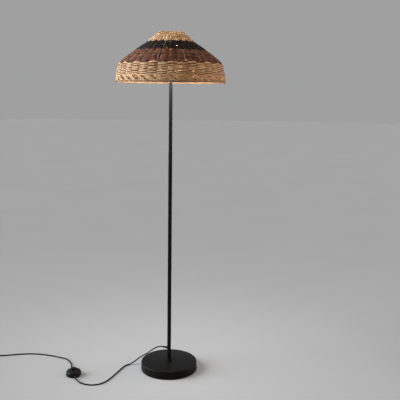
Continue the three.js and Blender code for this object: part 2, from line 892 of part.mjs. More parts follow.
function shadeAssembly() {
  const group = new THREE.Group();
  const walls = bandWalls();
  const topRollRoom = wireRing(topRollCentre.x, topRollRadius + fit, topRollHeight, shadeFacets, rollSides);
  const rimRollRoom = wireRing(rimRollCentre.x, rimRollRadius + fit, rimRollCentre.y, shadeFacets, rollSides);
  const cutters = [[topRollRoom], [], [], [rimRollRoom]];
  walls.forEach((wall, index) => group.add(weaveBand(index, wall, ...cutters[index])));

  const topRoll = wireRing(topRollCentre.x, topRollRadius, topRollHeight, shadeFacets, rollSides);
  const rimRoll = wireRing(rimRollCentre.x, rimRollRadius, rimRollCentre.y, shadeFacets, rollSides);
  group.add(part('border_top', topRoll, 'naturalCane'), part('border_rim', rimRoll, 'naturalCane'));

  const topRingRadius = seatInside(walls[0].inner, topRingHeight, spiderWireRadius + fit);
  group.add(shadeSpider(topRingRadius));

  const hoopHeight = rimRollCentre.y + rimRollRadius + hoopWireRadius + fit;
  const hoopRadius = seatInside(walls[3].inner, hoopHeight, hoopWireRadius + fit);
  group.add(part('rim_hoop', wireRing(hoopRadius, hoopWireRadius, hoopHeight, shadeFacets), 'wire'));
  return group;
}

// Cord: bush on the pole, the lead inside, the free lengths, the coil and its tie

// Outline of a tapered boot along X, from its root to its rounded tip
function bootOutline(root) {
  const tip = root + bootLength;
  return [
    point(bootRootRadius, root),
    point(bootTipRadius + bootTipRound / 2, tip - bootTipRound),
    point(bootTipRadius - bootTipRound / 2, tip),
    point(0, tip),
  ];
}

// The bush: a plug in the tube's hole, a flange saddled on the tube, and the boot
function cordBush() {
  const flangeFoot = poleRadius + fit;
  const flangeTip = flangeFoot + bushFlangeThickness;
  const head = turnAlongX([
    point(0, 0),
    point(bushFlangeRadius, 0),
    point(bushFlangeRadius, flangeTip),
    ...bootOutline(flangeTip),
  ], smallFacets);
  const pole = bar(flangeFoot, -bushFlangeRadius - overrun, bushFlangeRadius + overrun, poleFacets);
  const saddled = cut(head, pole);
  const plug = barAlongX(bushPlugRadius, poleRadius - bushPlugDepth, flangeTip);
  const bush = join(saddled, plug).rotateZ(degrees(exitHeading)).translate(0, 0, exitHeight);
  return part('cord_bush', bush, 'blackPlastic');
}

// The lead inside the pole: up from the bush, through every bore, to the lampholder
function innerLead() {
  const bend = poleRadius - bushPlugDepth - fit;
  const top = capBottom + capHeight - capWall;
  const upright = bar(cordRadius, exitHeight + bend - fit, top, cordSides);
  const turnDown = new THREE.QuadraticBezierCurve3(spot(0, 0, bend), spot(0, 0, 0), spot(bend, 0, 0));
  const foot = tubeAlong(turnDown, cordRadius, cordSides, arcSteps)
    .rotateZ(degrees(exitHeading))
    .translate(0, 0, exitHeight);
  return part('inner_lead', join(upright, foot), 'cordBlack');
}

// A free length of cord: it leaves its start and meets its end straight for one diameter
function cordLength(name, start, startHeading, route, end, endHeading) {
  const points = [
    start,
    start.clone().addScaledVector(startHeading, cordDiameter),
    ...route.map(([x, y, z]) => spot(x, y, z)),
    end.clone().addScaledVector(endHeading, -cordDiameter),
    end,
  ];
  const path = new THREE.CatmullRomCurve3(points, false, 'centripetal');
  path.arcLengthDivisions = divisionsPerPoint * points.length;
  const steps = Math.ceil(path.getLength() / (cordStepDiameters * cordDiameter));
  return part(name, tubeAlong(path, cordRadius, cordSides, steps), 'cordBlack');
}

const bushReach = poleRadius + fit + bushFlangeThickness + bootLength + fit;
const bushTip = heading(exitHeading).multiplyScalar(bushReach);
const bootReach = switchRadius + fit + bootLength + fit;
const switchCentre = spot(switchX, switchY, switchParting);
const plugAxisHeight = plugThickness / 2;
const plugTailTip = spot(plugX, plugY, plugAxisHeight)
  .addScaledVector(heading(plugHeading), -bootLength - fit);

// The centres of the coil's rings: in on the first layer, up a layer where the spiral
// reverses, and out again on the second, with a straight run at each end
function coilCentres() {
  const pitch = cordDiameter + coilGap;
  const spread = (pitch * coilTurns) / 2;
  const outerRadius = coilMiddleRadius + spread / 2;
  const steps = Math.round(coilTurns * coilStepsPerTurn);
  const low = cordRadius + cordLift + tieThickness + fit;
  const centres = [];
  for (let i = 0; i <= steps; i += 1) {
    const turns = i / coilStepsPerTurn;
    const past = turns - coilTurns / 2;
    const radius = outerRadius - spread + pitch * Math.abs(past);
    const climb = THREE.MathUtils.clamp(past / coilClimbTurns + 1 / 2, 0, 1);
    const angle = Math.PI / 2 + 2 * Math.PI * turns;
    centres.push(spot(
      coilX + radius * Math.cos(angle),
      coilY + radius * Math.sin(angle),
      low + pitch * climb,
    ));
  }
  const first = spot(coilX + cordDiameter, centres[0].y, low);
  const end = centres[centres.length - 1];
  const last = spot(end.x, end.y - cordDiameter, end.z);
  return [first, ...centres, last];
}

// A tube through a list of centres that all lie nearly level
function windTube(centres, radius, sides) {
  const up = spot(0, 0, 1);
  const positions = [];
  const index = [];
  centres.forEach((centre, i) => {
    const ahead = centres[Math.min(i + 1, centres.length - 1)];
    const behind = centres[Math.max(i - 1, 0)];
    const along = ahead.clone().sub(behind).normalize();
    const across = up.clone().cross(along).normalize();
    const over = along.clone().cross(across);
    for (let k = 0; k < sides; k += 1) {
      const angle = (2 * Math.PI * k) / sides;
      const corner = centre.clone()
        .addScaledVector(across, radius * Math.cos(angle))
        .addScaledVector(over, radius * Math.sin(angle));
      positions.push(corner.x, corner.y, corner.z);
    }
  });
  for (let i = 0; i < centres.length - 1; i += 1) {
    for (let k = 0; k < sides; k += 1) {
      const next = (k + 1) % sides;
      const [a, b] = [i * sides + k, i * sides + next];
      index.push(a, b, b + sides, a, b + sides, a + sides);
    }
  }
  const end = (centres.length - 1) * sides;
  for (let k = 1; k < sides - 1; k += 1) index.push(0, k + 1, k, end, end + k, end + k + 1);
  const geometry = new THREE.BufferGeometry();
  geometry.setAttribute('position', new THREE.Float32BufferAttribute(positions, 3));
  geometry.setIndex(index);
  return geometry;
}

// The coil's least gap to itself, between points at least half a turn apart
function leastCoilGap(centres) {
  let least = Infinity;
  const apart = coilStepsPerTurn / 2;
  for (let i = 0; i < centres.length; i += 1) {
    for (let j = i + apart; j < centres.length; j += 1) {
      least = Math.min(least, centres[i].distanceTo(centres[j]) - cordDiameter);
    }
  }
  return least;
}

// The tie: a flat band round the turns where they lie two wide and two high
function coilTie() {
  const pitch = cordDiameter + coilGap;
  const outerRadius = coilMiddleRadius + (pitch * coilTurns) / 4;
  const turnsThere = (degrees(tiePlace) + 2 * Math.PI - Math.PI / 2) / (2 * Math.PI);
  const outerTurn = outerRadius - pitch * turnsThere;
  const innerTurn = outerTurn - pitch;
  const curve = (tieWidth * tieWidth) / (8 * innerTurn);
  const room = cordRadius + curve + 2 * fit;
  const bottom = cordLift + tieThickness;
  const top = bottom + fit + cordDiameter + pitch + fit;
  const band = new THREE.Shape();
  const frame = (path, grow) => {
    const [left, right] = [innerTurn - room - grow, outerTurn + room + grow];
    path.moveTo(left, bottom - grow);
    path.lineTo(right, bottom - grow);
    path.lineTo(right, top + grow);
    path.lineTo(left, top + grow);
    path.closePath();
  };
  frame(band, tieThickness);
  const hole = new THREE.Path();
  frame(hole, 0);
  band.holes.push(hole);
  const strap = new THREE.ExtrudeGeometry(band, { depth: tieWidth, bevelEnabled: false })
    .translate(0, 0, -tieWidth / 2)
    .rotateX(Math.PI / 2)
    .rotateZ(degrees(tiePlace))
    .translate(coilX, coilY, 0);
  return part('coil_tie', strap, 'felt');
}

function cordAssembly() {
  const group = new THREE.Group();
  const rings = coilCentres();
  console.log(`coil: least gap to itself ${leastCoilGap(rings).toFixed(2)} mm`);
  const through = heading(switchHeading);
  const bootIn = switchCentre.clone().addScaledVector(through, -bootReach);
  const bootOut = switchCentre.clone().addScaledVector(through, bootReach);
  const coilStart = rings[0].clone();
  coilStart.x += fit;
  const coilEnd = rings[rings.length - 1].clone();
  coilEnd.y -= fit;
  const bushEnd = spot(bushTip.x, bushTip.y, exitHeight);
  group.add(
    cordBush(),
    innerLead(),
    cordLength('cord_to_switch', bushEnd, heading(exitHeading), routeToSwitch, bootIn, through),
    cordLength('cord_to_coil', bootOut, through, routeToCoil, coilStart, heading(180)),
    cordLength('cord_to_plug', coilEnd, heading(plugHeading), routeToPlug, plugTailTip, heading(plugHeading)),
    part('cord_coil', windTube(rings, cordRadius, coilSides), 'cordBlack'),
    coilTie(),
  );
  return group;
}

// Foot switch, drawn with the cord along X and turned into place as a group

const switchPadTop = switchPadThickness;
const switchFloor = switchPadTop + fit;
const switchFloorTop = switchFloor + switchWall;
const coverFoot = switchParting + fit / 2;
const buttonHole = buttonRadius + fit;
const lipTop = switchHeight - switchWall - fit;
const lipBottom = lipTop - buttonLipThickness;
const moduleBottom = switchFloorTop + fit;
const moduleTop = lipBottom - buttonTravel - buttonStop;

const bossSides = [-1, 1];
const bossAt = (side, geometry) => geometry.translate(0, side * switchBossPlace, 0);
const bootRoom = () => {
  const reach = switchRadius + overrun;
  return barAlongX(bootRootRadius + fit, -reach, reach, poleFacets).translate(0, 0, switchParting);
};

function switchPad() {
  const outer = switchRadius - switchPadInset;
  const outline = ringOutline(outer - switchPadWidth, outer, 0, switchPadTop);
  return part('switch_pad', turn(outline, holderFacets), 'felt');
}

function switchBase() {
  const rim = switchParting - fit / 2;
  const inner = switchRadius - switchWall;
  const dish = turn([
    point(0, switchFloor),
    point(switchRadius - switchFootChamfer, switchFloor),
    point(switchRadius, switchFloor + switchFootChamfer),
    point(switchRadius, rim),
    point(inner, rim),
    point(inner, switchFloorTop),
    point(0, switchFloorTop),
  ], switchFacets);
  const bosses = bossSides.map((side) => bossAt(side, bar(switchBossRadius, switchFloor + fit, rim)));
  const holes = bossSides.flatMap((side) => [
    bossAt(side, bar(screwRadius + fit, switchFloor - overrun, rim + overrun)),
    bossAt(side, bar(screwHeadRadius + fit, switchFloor - overrun, switchFloor + screwHeadHeight + fit)),
  ]);
  return part('switch_base', cut(join(dish, ...bosses), bootRoom(), ...holes), 'blackPlastic');
}

// The dome, with bosses for the screws, its hole for the button and room for the boots
function switchCover() {
  const sideTop = coverFoot + switchSide;
  const round = [];
  for (let i = 0; i <= domeSteps; i += 1) {
    const angle = (Math.PI / 2) * (i / domeSteps);
    round.push(point(
      switchTopRadius + (switchRadius - switchTopRadius) * Math.cos(angle),
      sideTop + (switchHeight - sideTop) * Math.sin(angle),
    ));
  }
  const outer = [point(switchRadius, coverFoot), ...round, point(buttonHole, switchHeight)];
  const shell = turn(wallOutline(outer, switchWall), switchFacets);
  const full = turn([point(0, coverFoot), ...outer, point(0, switchHeight)], switchFacets);
  const bosses = bossSides.map((side) => bossAt(side, bar(switchBossRadius, coverFoot, switchBossTop)));
  const holes = bossSides.map((side) => bossAt(
    side,
    bar(screwRadius + fit, coverFoot - overrun, switchFloor + screwLength + fit),
  ));
  const joined = keepInside(join(shell, ...bosses), full);
  return part('switch_cover', cut(joined, bootRoom(), ...holes), 'blackPlastic');
}

// The button: a domed top, a lip that holds it in, and a stem in the module's bore
function switchButton() {
  const top = switchHeight + buttonRise;
  const lipRadius = buttonRadius + buttonLip;
  const stemBottom = moduleTop - moduleBoreDepth + buttonTravel + buttonStop;
  const crown = new THREE.QuadraticBezierCurve(
    point(buttonRadius, top - buttonCrown),
    point(buttonRadius - buttonCrown, top),
    point(0, top),
  );
  const outline = [
    point(0, stemBottom),
    point(buttonStemRadius, stemBottom),
    point(buttonStemRadius, lipBottom),
    point(lipRadius, lipBottom),
    point(lipRadius, lipTop),
    point(buttonRadius, lipTop),
    ...crown.getPoints(arcSteps),
  ];
  return part('switch_button', turn(outline, holderFacets), 'blackPlastic');
}

function switchModule() {
  const body = block(moduleLength, moduleWidth, moduleTop - moduleBottom, moduleBottom);
  const bore = bar(buttonStemRadius + fit, moduleTop - moduleBoreDepth, moduleTop + overrun);
  return part('switch_module', cut(body, bore), 'blackPlastic');
}

function switchTerminal(name, side) {
  const middle = moduleLength / 2 + fit + terminalLength / 2;
  const geometry = block(terminalLength, terminalWidth, terminalHeight, moduleBottom);
  return part(name, geometry.translate(side * middle, 0, 0), 'brass');
}

// A boot: an inner flange that the shells grip, a neck through the wall, and the taper
function switchBoot(name, side) {
  const gripFace = switchRadius - switchWall - gripInset;
  const grip = switchParting - switchFloorTop - fit;
  const flange = keepInside(
    barAlongX(grip, gripFace - gripThickness, gripFace).translate(0, 0, switchParting),
    bar(gripFace, 0, switchHeight, switchFacets),
  );
  const taper = turnAlongX([
    point(0, gripFace - gripThickness),
    point(bootRootRadius, gripFace - gripThickness),
    ...bootOutline(switchRadius + fit),
  ], smallFacets).translate(0, 0, switchParting);
  const boot = join(flange, taper).rotateZ(side > 0 ? 0 : Math.PI);
  return part(name, boot, 'blackPlastic');
}

function switchScrew(name, side) {
  const headBottom = switchFloor + fit / 2;
  const outline = [
    point(0, headBottom),
    point(screwHeadRadius, headBottom),
    point(screwHeadRadius, headBottom + screwHeadHeight),
    point(screwRadius, headBottom + screwHeadHeight),
    point(screwRadius, switchFloor + screwLength),
    point(0, switchFloor + screwLength),
  ];
  return part(name, bossAt(side, turn(outline, smallFacets)), 'zinc');
}

function switchAssembly() {
  const group = new THREE.Group();
  group.add(
    switchPad(),
    switchBase(),
    switchCover(),
    switchButton(),
    switchModule(),
    switchTerminal('switch_terminal_in', -1),
    switchTerminal('switch_terminal_out', 1),
    switchBoot('switch_boot_in', -1),
    switchBoot('switch_boot_out', 1),
    switchScrew('switch_screw_1', -1),
    switchScrew('switch_screw_2', 1),
  );
  group.position.set(switchX, switchY, 0);
  group.rotation.z = degrees(switchHeading);
  return group;
}

// Plug: a flat moulded body that flares from its boot to its face, and two pins along X

function plugBody() {
  const halfWidth = plugWidth / 2 - plugEdge;
  const halfTail = plugTailWidth / 2 - plugEdge;
  const front = plugLength - plugEdge;
  const waist = plugLength * plugWaistShare;
  const flare = plugLength * plugFlareShare;
  const outline = new THREE.Shape();
  outline.moveTo(plugEdge, -halfTail);
  outline.bezierCurveTo(waist, -halfTail, waist, -halfWidth, flare, -halfWidth);
  outline.lineTo(front - plugFrontRadius, -halfWidth);
  outline.quadraticCurveTo(front, -halfWidth, front, -halfWidth + plugFrontRadius);
  outline.lineTo(front, halfWidth - plugFrontRadius);
  outline.quadraticCurveTo(front, halfWidth, front - plugFrontRadius, halfWidth);
  outline.lineTo(flare, halfWidth);
  outline.bezierCurveTo(waist, halfWidth, waist, halfTail, plugEdge, halfTail);
  outline.closePath();
  const body = new THREE.ExtrudeGeometry(outline, {
    depth: plugThickness - 2 * plugEdge,
    bevelThickness: plugEdge,
    bevelSize: plugEdge,
    bevelSegments: plugEdgeSteps,
    curveSegments: plugCurveSteps,
  }).translate(0, 0, plugEdge);
  const boot = turnAlongX([
    point(0, -plugEdge),
    point(bootRootRadius, -plugEdge),
    ...bootOutline(0).slice(1),
  ], smallFacets).rotateZ(Math.PI).translate(0, 0, plugAxisHeight);
  const socketFloor = plugLength - pinRoot - fit;
  const sockets = [-1, 1].map((side) => barAlongX(pinRadius + fit, socketFloor, plugLength + overrun)
    .translate(0, (side * pinSpacing) / 2, plugAxisHeight));
  return part('plug_body', cut(join(body, boot), ...sockets), 'blackPlastic');
}

function plugPin(name, side) {
  const start = plugLength - pinRoot;
  const tip = plugLength + pinLength;
  const outline = [
    point(0, start),
    point(pinRadius, start),
    point(pinRadius, tip - pinRadius / 2),
    point(pinRadius / 2, tip),
    point(0, tip),
  ];
  const pin = turnAlongX(outline, smallFacets).translate(0, (side * pinSpacing) / 2, plugAxisHeight);
  return part(name, pin, 'zinc');
}

function plugAssembly() {
  const group = new THREE.Group();
  group.add(plugBody(), plugPin('plug_pin_1', -1), plugPin('plug_pin_2', 1));
  group.position.set(plugX, plugY, 0);
  group.rotation.z = degrees(plugHeading);
  return group;
}

const lamp = new THREE.Group();
lamp.add(
  baseAssembly(),
  poleAssembly(),
  holderAssembly(),
  bulbAssembly(),
  shadeAssembly(),
  cordAssembly(),
  switchAssembly(),
  plugAssembly(),
);

export default lamp;
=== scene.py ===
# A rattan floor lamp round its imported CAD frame: the camera, the cords, the finishes, the
# woven cane shade, and a plain stage. Metres, +Z up, and -Y is the side that faces the viewer.

import json
import math
from collections import namedtuple

import bpy
import numpy as np
from mathutils import Matrix, Vector


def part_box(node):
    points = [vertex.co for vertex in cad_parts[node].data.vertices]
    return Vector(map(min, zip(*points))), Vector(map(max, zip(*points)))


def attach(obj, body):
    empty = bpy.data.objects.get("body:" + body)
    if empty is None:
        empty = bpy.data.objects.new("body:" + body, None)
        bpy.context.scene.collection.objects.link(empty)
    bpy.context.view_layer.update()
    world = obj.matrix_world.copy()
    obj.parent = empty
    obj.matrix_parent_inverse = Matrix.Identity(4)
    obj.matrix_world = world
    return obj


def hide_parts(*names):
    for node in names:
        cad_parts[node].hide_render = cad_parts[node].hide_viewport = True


MM = 0.001
TURN = 2 * math.pi
UP = np.array([0, 0, 1.0])


def srgb(red, green, blue):
    """A colour written as a picture shows it, in the linear values that a shader takes."""
    return tuple(
        c / 12.92 if c <= 0.04045 else ((c + 0.055) / 1.055) ** 2.4
        for c in (red / 255, green / 255, blue / 255)
    ) + (1,)


WHITE = (1, 1, 1, 1)
BLACK = (0, 0, 0, 1)

# Camera
LENS_MM = 55.76
SENSOR_MM = 36
CAMERA_PLACE = (-0.0735, -2.7027, 1.2250)
CAMERA_PITCH = 5.841  # degrees below level
CAMERA_TURN = -4.313  # degrees from +Y, to the left where positive
CAMERA_ROLL = 0.667  # degrees
CAMERA_SHIFT = -0.1

# Cord, with the routes that the CAD solids follow
CORD_DIAMETER = 0.0055
CORD_SAMPLES = 5  # curve points for each step of a route
CORD_SIDES = 12
EXIT_HEIGHT = 0.095
EXIT_HEADING = 159  # degrees from +X
EXIT_REACH = 0.0329  # the bush's tip, from the pole's axis
SWITCH_CENTRE = (-0.42, -0.055, 0.01)
SWITCH_HEADING = 105
SWITCH_REACH = 0.0556  # its boots' tips, from its middle
PLUG_TAIL = (-0.893, 0.0623, 0.00685)
COIL_CENTRE = (-0.856, 0.122)
COIL_MIDDLE_RADIUS = 0.031
COIL_PITCH = 0.0062
COIL_TURNS = 4.25
COIL_START = 1 / 4  # of a turn, from +X
COIL_CLIMB_TURNS = 0.5
COIL_STEPS = 32  # for each turn
COIL_HEIGHT = 0.00395  # of the lower layer's centreline
COIL_ENTRY_HEADING = 180
PLUG_HEADING = -90

ROUTE_TO_SWITCH = [
    (-0.048, 0.0184, 0.0923), (-0.060, 0.023, 0.086), (-0.074, 0.0286, 0.0755),
    (-0.089, 0.0345, 0.0625), (-0.104, 0.040, 0.0505), (-0.119, 0.0445, 0.0406),
    (-0.137, 0.046, 0.0285), (-0.156, 0.0435, 0.0145), (-0.174, 0.038, 0.0056),
    (-0.193, 0.029, 0.00285), (-0.210, 0.004, 0.00285), (-0.226, -0.033, 0.00285),
    (-0.241, -0.066, 0.00285), (-0.257, -0.100, 0.00285), (-0.275, -0.131, 0.00285),
    (-0.300, -0.152, 0.00285), (-0.330, -0.159, 0.00285), (-0.358, -0.152, 0.00295),
    (-0.380, -0.1385, 0.0043), (-0.395, -0.1245, 0.0073),
]
ROUTE_TO_COIL = [
    (-0.4385, 0.017, 0.0075), (-0.4405, 0.032, 0.0042), (-0.4425, 0.047, 0.00295),
    (-0.447, 0.062, 0.00285), (-0.4535, 0.077, 0.00285), (-0.464, 0.097, 0.00285),
    (-0.482, 0.115, 0.00285), (-0.504, 0.127, 0.00285), (-0.534, 0.143, 0.00285),
    (-0.569, 0.158, 0.00285), (-0.610, 0.171, 0.00285), (-0.655, 0.177, 0.00285),
    (-0.700, 0.174, 0.00285), (-0.745, 0.167, 0.0029), (-0.790, 0.1615, 0.0032),
]
ROUTE_TO_PLUG = [(-0.8935, 0.104, 0.0096), (-0.8933, 0.092, 0.0085), (-0.8931, 0.080, 0.0074)]

# The strap round the coil's cord
TIE_HEADING = -45  # degrees from +X
TIE_WIDTH = 0.008
TIE_THICKNESS = 0.0008
TIE_ROOM = 0.0010  # from the cord to the strap's middle line
TIE_CORNER = 0.0024
TIE_STEPS = 6  # for each corner

# Patterns of noise. Patches take their colour from the main one by a gain and a lift, show it
# by a share, and move the roughness both ways
Pattern = namedtuple("Pattern", "scale detail stretch", defaults=[(1, 1, 1)])
Patches = namedtuple("Patches", "pattern gain lift share smoother rougher")
Relief = namedtuple("Relief", "pattern strength depth")

PAINT_GLOSS = 0.065
PAINT_DUST = Patches(Pattern(14, 4), gain=1.5, lift=0.004, share=0.6, smoother=0.06, rougher=0.1)
PAINT_PEEL = Relief(Pattern(900, 2), strength=0.25, depth=0.0002)
PLASTIC_GLOSS = 0.1
PLASTIC_SMEARS = Patches(Pattern(45, 3), gain=1.35, lift=0.003, share=0.7, smoother=0.05, rougher=0.09)
PLASTIC_GRAIN = Relief(Pattern(1400, 2), strength=0.15, depth=0.0001)
METAL_GLOSS = 0.5
METAL_BRUSHING = Pattern(160, 3, (1, 1, 14))
METAL_DULL = Patches(METAL_BRUSHING, gain=0.7, lift=0, share=0.8, smoother=0.08, rougher=0.15)
METAL_LINES = Relief(METAL_BRUSHING, strength=0.1, depth=0.0001)
SHEATH_GLOSS = 0.06
SHEATH_SMEARS = Patches(Pattern(60, 3), gain=1.5, lift=0.002, share=0.8, smoother=0, rougher=0.18)
SHEATH_GRAIN = Relief(Pattern(700, 2), strength=0.2, depth=0.0001)
MATT_ROUGHNESS = 0.9
MATT_DETAIL = 6
MATT_GAIN = 0.6  # the specks' colour, from the main one
MATT_STOPS = (0.35, 0.65)
MATT_STRENGTH = 0.5

CANE_DRIFT = Pattern(1, 2, (0.04, 0, 1))  # along a strand, in millimetres
CANE_DRIFT_STOPS = (0.32, 0.68)
CANE_DRIFT_SHARE = 0.55  # against each strand's own tone
CANE_FIBRES = Pattern(8, 4, (0.06, 1.6, 1))
CANE_FIBRE_STOPS = (0.46, 0.80)
CANE_FIBRE_RELIEF = (0.35, 0.0004)  # strength and depth
CANE_PATCHES = Pattern(38, 2)
CANE_PATCH_STOPS = (0.3, 0.62)
CANE_PATCH_TONE = (0.78, 0.74, 0.70, 1)
CANE_PATCH_SHARE = 0.8
CANE_SMOOTHER = 0.12
CANE_ROUGHER = 0.15
CANE_GLOW_RADIUS = (1.0, 1.0, 1.0)  # the same for every colour
CANE_GLOW_DEPTH = 0.0015
RECESS_SHADE_TONE = srgb(104, 74, 50)  # painted shade, with some dust, where canes lie deep in the weave
LIT_COLOUR = (1.0, 0.59, 0.22, 1)
LIT_STRENGTH = 1.6

BULB_LIGHT = (1.0, 0.80, 0.54)
BULB_GLOW = (1.0, 0.74, 0.38, 1)  # the bulb's own face
BULB_STRENGTH = 1.0
BULB_ROUGHNESS = 0.25
BULB_GLASS = srgb(214, 184, 140)
BULB_CLOUD = Pattern(30, 2)
BULB_CLOUDED = srgb(200, 166, 120)
BULB_CLOUD_SHARE = 0.5

# The CAD solids' facets
SMOOTH_MERGE = 0.00002
SMOOTH_DEGREES = 42

# Shade: its wall's middle line as radius and height, from the top border to the rim
TOP_ROLL = (0.0515, 1.4955)
CROWN_FOOT = (0.1052, 1.4506)
BLACK_FOOT = (0.1552, 1.4161)
SHOULDER = (0.2221, 1.3634)
RIM_ROLL = (0.2350, 1.2870)
SHOULDER_REACH = 0.014
BAND_BULGE = 0.0015
WALL_STEPS = 12  # points on each band's line

# Strands and stakes. A depth is how deep in the weave a cane looks, and sets its painted shade: 0
# outermost, 1 deepest
STRAND_SIDES = 6
STRAND_START = 5000  # how far into its pattern a strand may start, in mm
STAKES = 36
STAKE_RADIUS = 0.0013
STAKE_SPREAD = 0.0016  # a stake is two rods, this far each side of its middle
STAKE_STEPS = 44
STAKE_MODES = (1, 2)
STAKE_WANDER = 0.0004
STAKE_DEPTH = 0.7
WARP_MODES = (2, 3, 5, 8, 13)
WARP_SHARE = 0.01
SHOWN_STAKES = (236.5, 253.6, 284.6, 303.5, 311.5, 40, 98, 151, 200)  # degrees from +X
SHOWN_LIFT = 0.0032  # of the canes that lie over the brown band
SHOWN_POWER = 0.3  # below 1, they stay up for longer before they dive in
SHOWN_WIDTH = 0.0028
SHOWN_THICKNESS = 0.0018
SHOWN_DEPTH = 0.8

# Rows. Modes are how many waves a wandering line makes in a turn, and a pair of values is the
# range that one is drawn from
STEPS_PER_STAKE = 8
LIFT_POWER = 0.7  # below 1, a cane lies flat over a stake for longer
LIFT_MODES = (7, 11, 16, 23)
LIFT_WANDER = 0.09
BAND_MODES = (1, 2, 3, 5)
ROW_MODES = (4, 7, 11, 17, 26)
ROW_WANDER_SHARE = 1 / 2  # of the band's wander
CANE_MODES = (6, 9, 15, 22)
CANE_WANDER_SHARE = 1 / 4
SURFACE_MODES = (4, 9, 17, 31)
SURFACE_SHARE = 1 / 16  # of a cane's thickness
WIDTH_MODES = (5, 8, 13, 21, 34)
WIDTH_WANDER = 0.045
WIDTH_SHARES = (0.88, 1.1)
THICKNESS_SHARES = (0.88, 1.06)

# Reach is how far a cane swings out and in, fan how much a pair opens over a stake, ripple its
# wave at every stake, uneven how much rows differ, and cover how much of a row its canes fill
Weave = namedtuple("Weave", "rows thickness reach fan wander ripple uneven cover depth")
# The crown's depth puts painted shade over all its rows
CROWN_WEAVE = Weave(
    rows=8, thickness=0.0025, reach=0.0024, fan=0.5, wander=0.0009, ripple=0.0003,
    uneven=0.25, cover=0.76, depth=0.14,
)
BLACK_WEAVE = Weave(
    rows=12, thickness=0.0028, reach=0.0017, fan=0.5, wander=0.0004, ripple=0.0003,
    uneven=0.18, cover=1.46, depth=0,
)
BROWN_WEAVE = Weave(
    rows=24, thickness=0.0026, reach=0.0018, fan=0.5, wander=0.0005, ripple=0.0006,
    uneven=0.2, cover=1.46, depth=0,
)
SKIRT_WEAVE = Weave(
    rows=12, thickness=0.0027, reach=0.0024, fan=0.36, wander=0.0006, ripple=0,
    uneven=0.22, cover=1, depth=0,
)

# Crown, with bundles that turn over the top border, and canes that cross them
CROWN_END_HEIGHT = 1.4550
CROWN_ROWS_TOP = 0.0200  # down the slope from the top border's middle
CROWN_STEPS = 22
CROWN_BUNDLES = 24
CROWN_TURN = 13.5  # degrees from +X to the first bundle
CROWN_LEAN = (0.3, 0.12)  # its mean and spread, of the spacing between bundles
BUNDLE_SPREAD = 0.07  # of that spacing
BUNDLE_CANES = 3
BUNDLE_PITCH = 0.0026
BUNDLE_FAN = 0.8
BUNDLE_ENDS = (0.004, 0.020)  # past the rows' start
BUNDLE_LIFT = 0.0024
BUNDLE_LIFT_SPREAD = 0.0003
BUNDLE_WIDTHS = (0.0024, 0.0029)
BUNDLE_THICKNESS = 0.0022
# Bundles and crossers take painted shade by their depths
BUNDLE_DEPTH = 0.1
BUNDLE_DEEPER = 0.3  # more painted shade from a bundle's start to its end
CROWN_CROSSERS = 46
CROSSER_SWEEPS = (0.18, 0.5)  # radians
CROSSER_STARTS = (0.6, 0.98)  # shares of the slope from the border to the crown's end
CROSSER_ENDS = (0.34, 0.5)
CROSSER_BEND = 0.04  # radians
CROSSER_LIFT = 0.0034
CROSSER_SINK = 0.0006  # of its ends, below the wall's middle
CROSSER_POWER = 0.5
CROSSER_WIDTH = 0.0023
CROSSER_THICKNESS = 0.0016
CROSSER_DEPTH = 0.3

# Borders, and ropes of canes that wind round a ring
BORDER_ROLL = 0.0031  # the bundles' middle line, round the top border's
BORDER_STEPS = 8
TUCK = 0.010  # how far a bundle goes down inside
ROPE_STEPS = 432
ROPE_MODES = (2, 5, 9)
ROPE_WANDER = 0.14  # radians
Rope = namedtuple("Rope", "centre roll twists canes width thickness depth")
BORDER_ROPE = Rope(
    TOP_ROLL, roll=0.0012, twists=CROWN_BUNDLES, canes=3, width=0.0020, thickness=0.0014,
    depth=0,
)
INNER_ROPE = Rope(
    (0.0462, 1.4952), roll=0.0022, twists=CROWN_BUNDLES, canes=3, width=0.0030,
    thickness=0.0020, depth=0,
)
# The rim's rope takes painted shade by its depth
RIM_ROPE = Rope(
    RIM_ROLL, roll=0.0031, twists=30, canes=4, width=0.0036, thickness=0.0026, depth=0.5
)

# The open row, where rods lean in two layers: their sweep in stakes, lift and depth, which gives the
# inner layer painted shade
OPEN_ROW_HEIGHT = 1.307
RIM_LAYERS = [(1.9, 0.0020, 0), (-1.6, -0.0014, 0.5)]
RIM_RODS = 6  # for each stake
RIM_STEPS = 30
RIM_DROP_SHARE = 0.6
RIM_BUNCH_SHARE = 0.6  # of the spacing between stakes that a bunch of rods takes
RIM_PHASE = 0.2  # from a stake to its bunch's start, in stakes
RIM_SPREAD = 0.03  # in stakes
RIM_SWEEP_SHARES = (0.85, 1.15)
RIM_SWEEP_POWER = 1.2
RIM_TUCK = 0.004  # how far the rods start under the skirt
RIM_FAN = 0.0012
RIM_SWELL = 0.0012
RIM_WIDTHS = (0.0025, 0.0033)
RIM_THICKNESS = 0.0022

# Places where the canes stand apart: degrees from +X, height, and half the gap
PARTINGS = [
    (256.6, 1.4672, 0.0032), (258.6, 1.4520, 0.0008), (268.1, 1.4508, 0.0006),
    (255.5, 1.4368, 0.0005), (267.5, 1.4369, 0.0005), (276.0, 1.3622, 0.0013),
    (284.4, 1.3640, 0.0011), (291.3, 1.3251, 0.0016), (274.3, 1.3235, 0.0011),
    (275.6, 1.3425, 0.0011), (267.0, 1.3381, 0.0009), (246.0, 1.3180, 0.0007),
    (312.0, 1.3400, 0.0009), (20.0, 1.3310, 0.0014), (48.0, 1.4660, 0.0020),
    (64.0, 1.3420, 0.0010), (88.0, 1.4380, 0.0008), (104.0, 1.3260, 0.0013),
    (131.0, 1.3620, 0.0011), (152.0, 1.3350, 0.0012), (163.0, 1.4650, 0.0020),
    (187.0, 1.3240, 0.0010), (338.0, 1.3360, 0.0012),
]
PARTING_EDGE = 0.0006
PARTING_WIDTH = 0.0060
PARTING_REACH = 0.0080

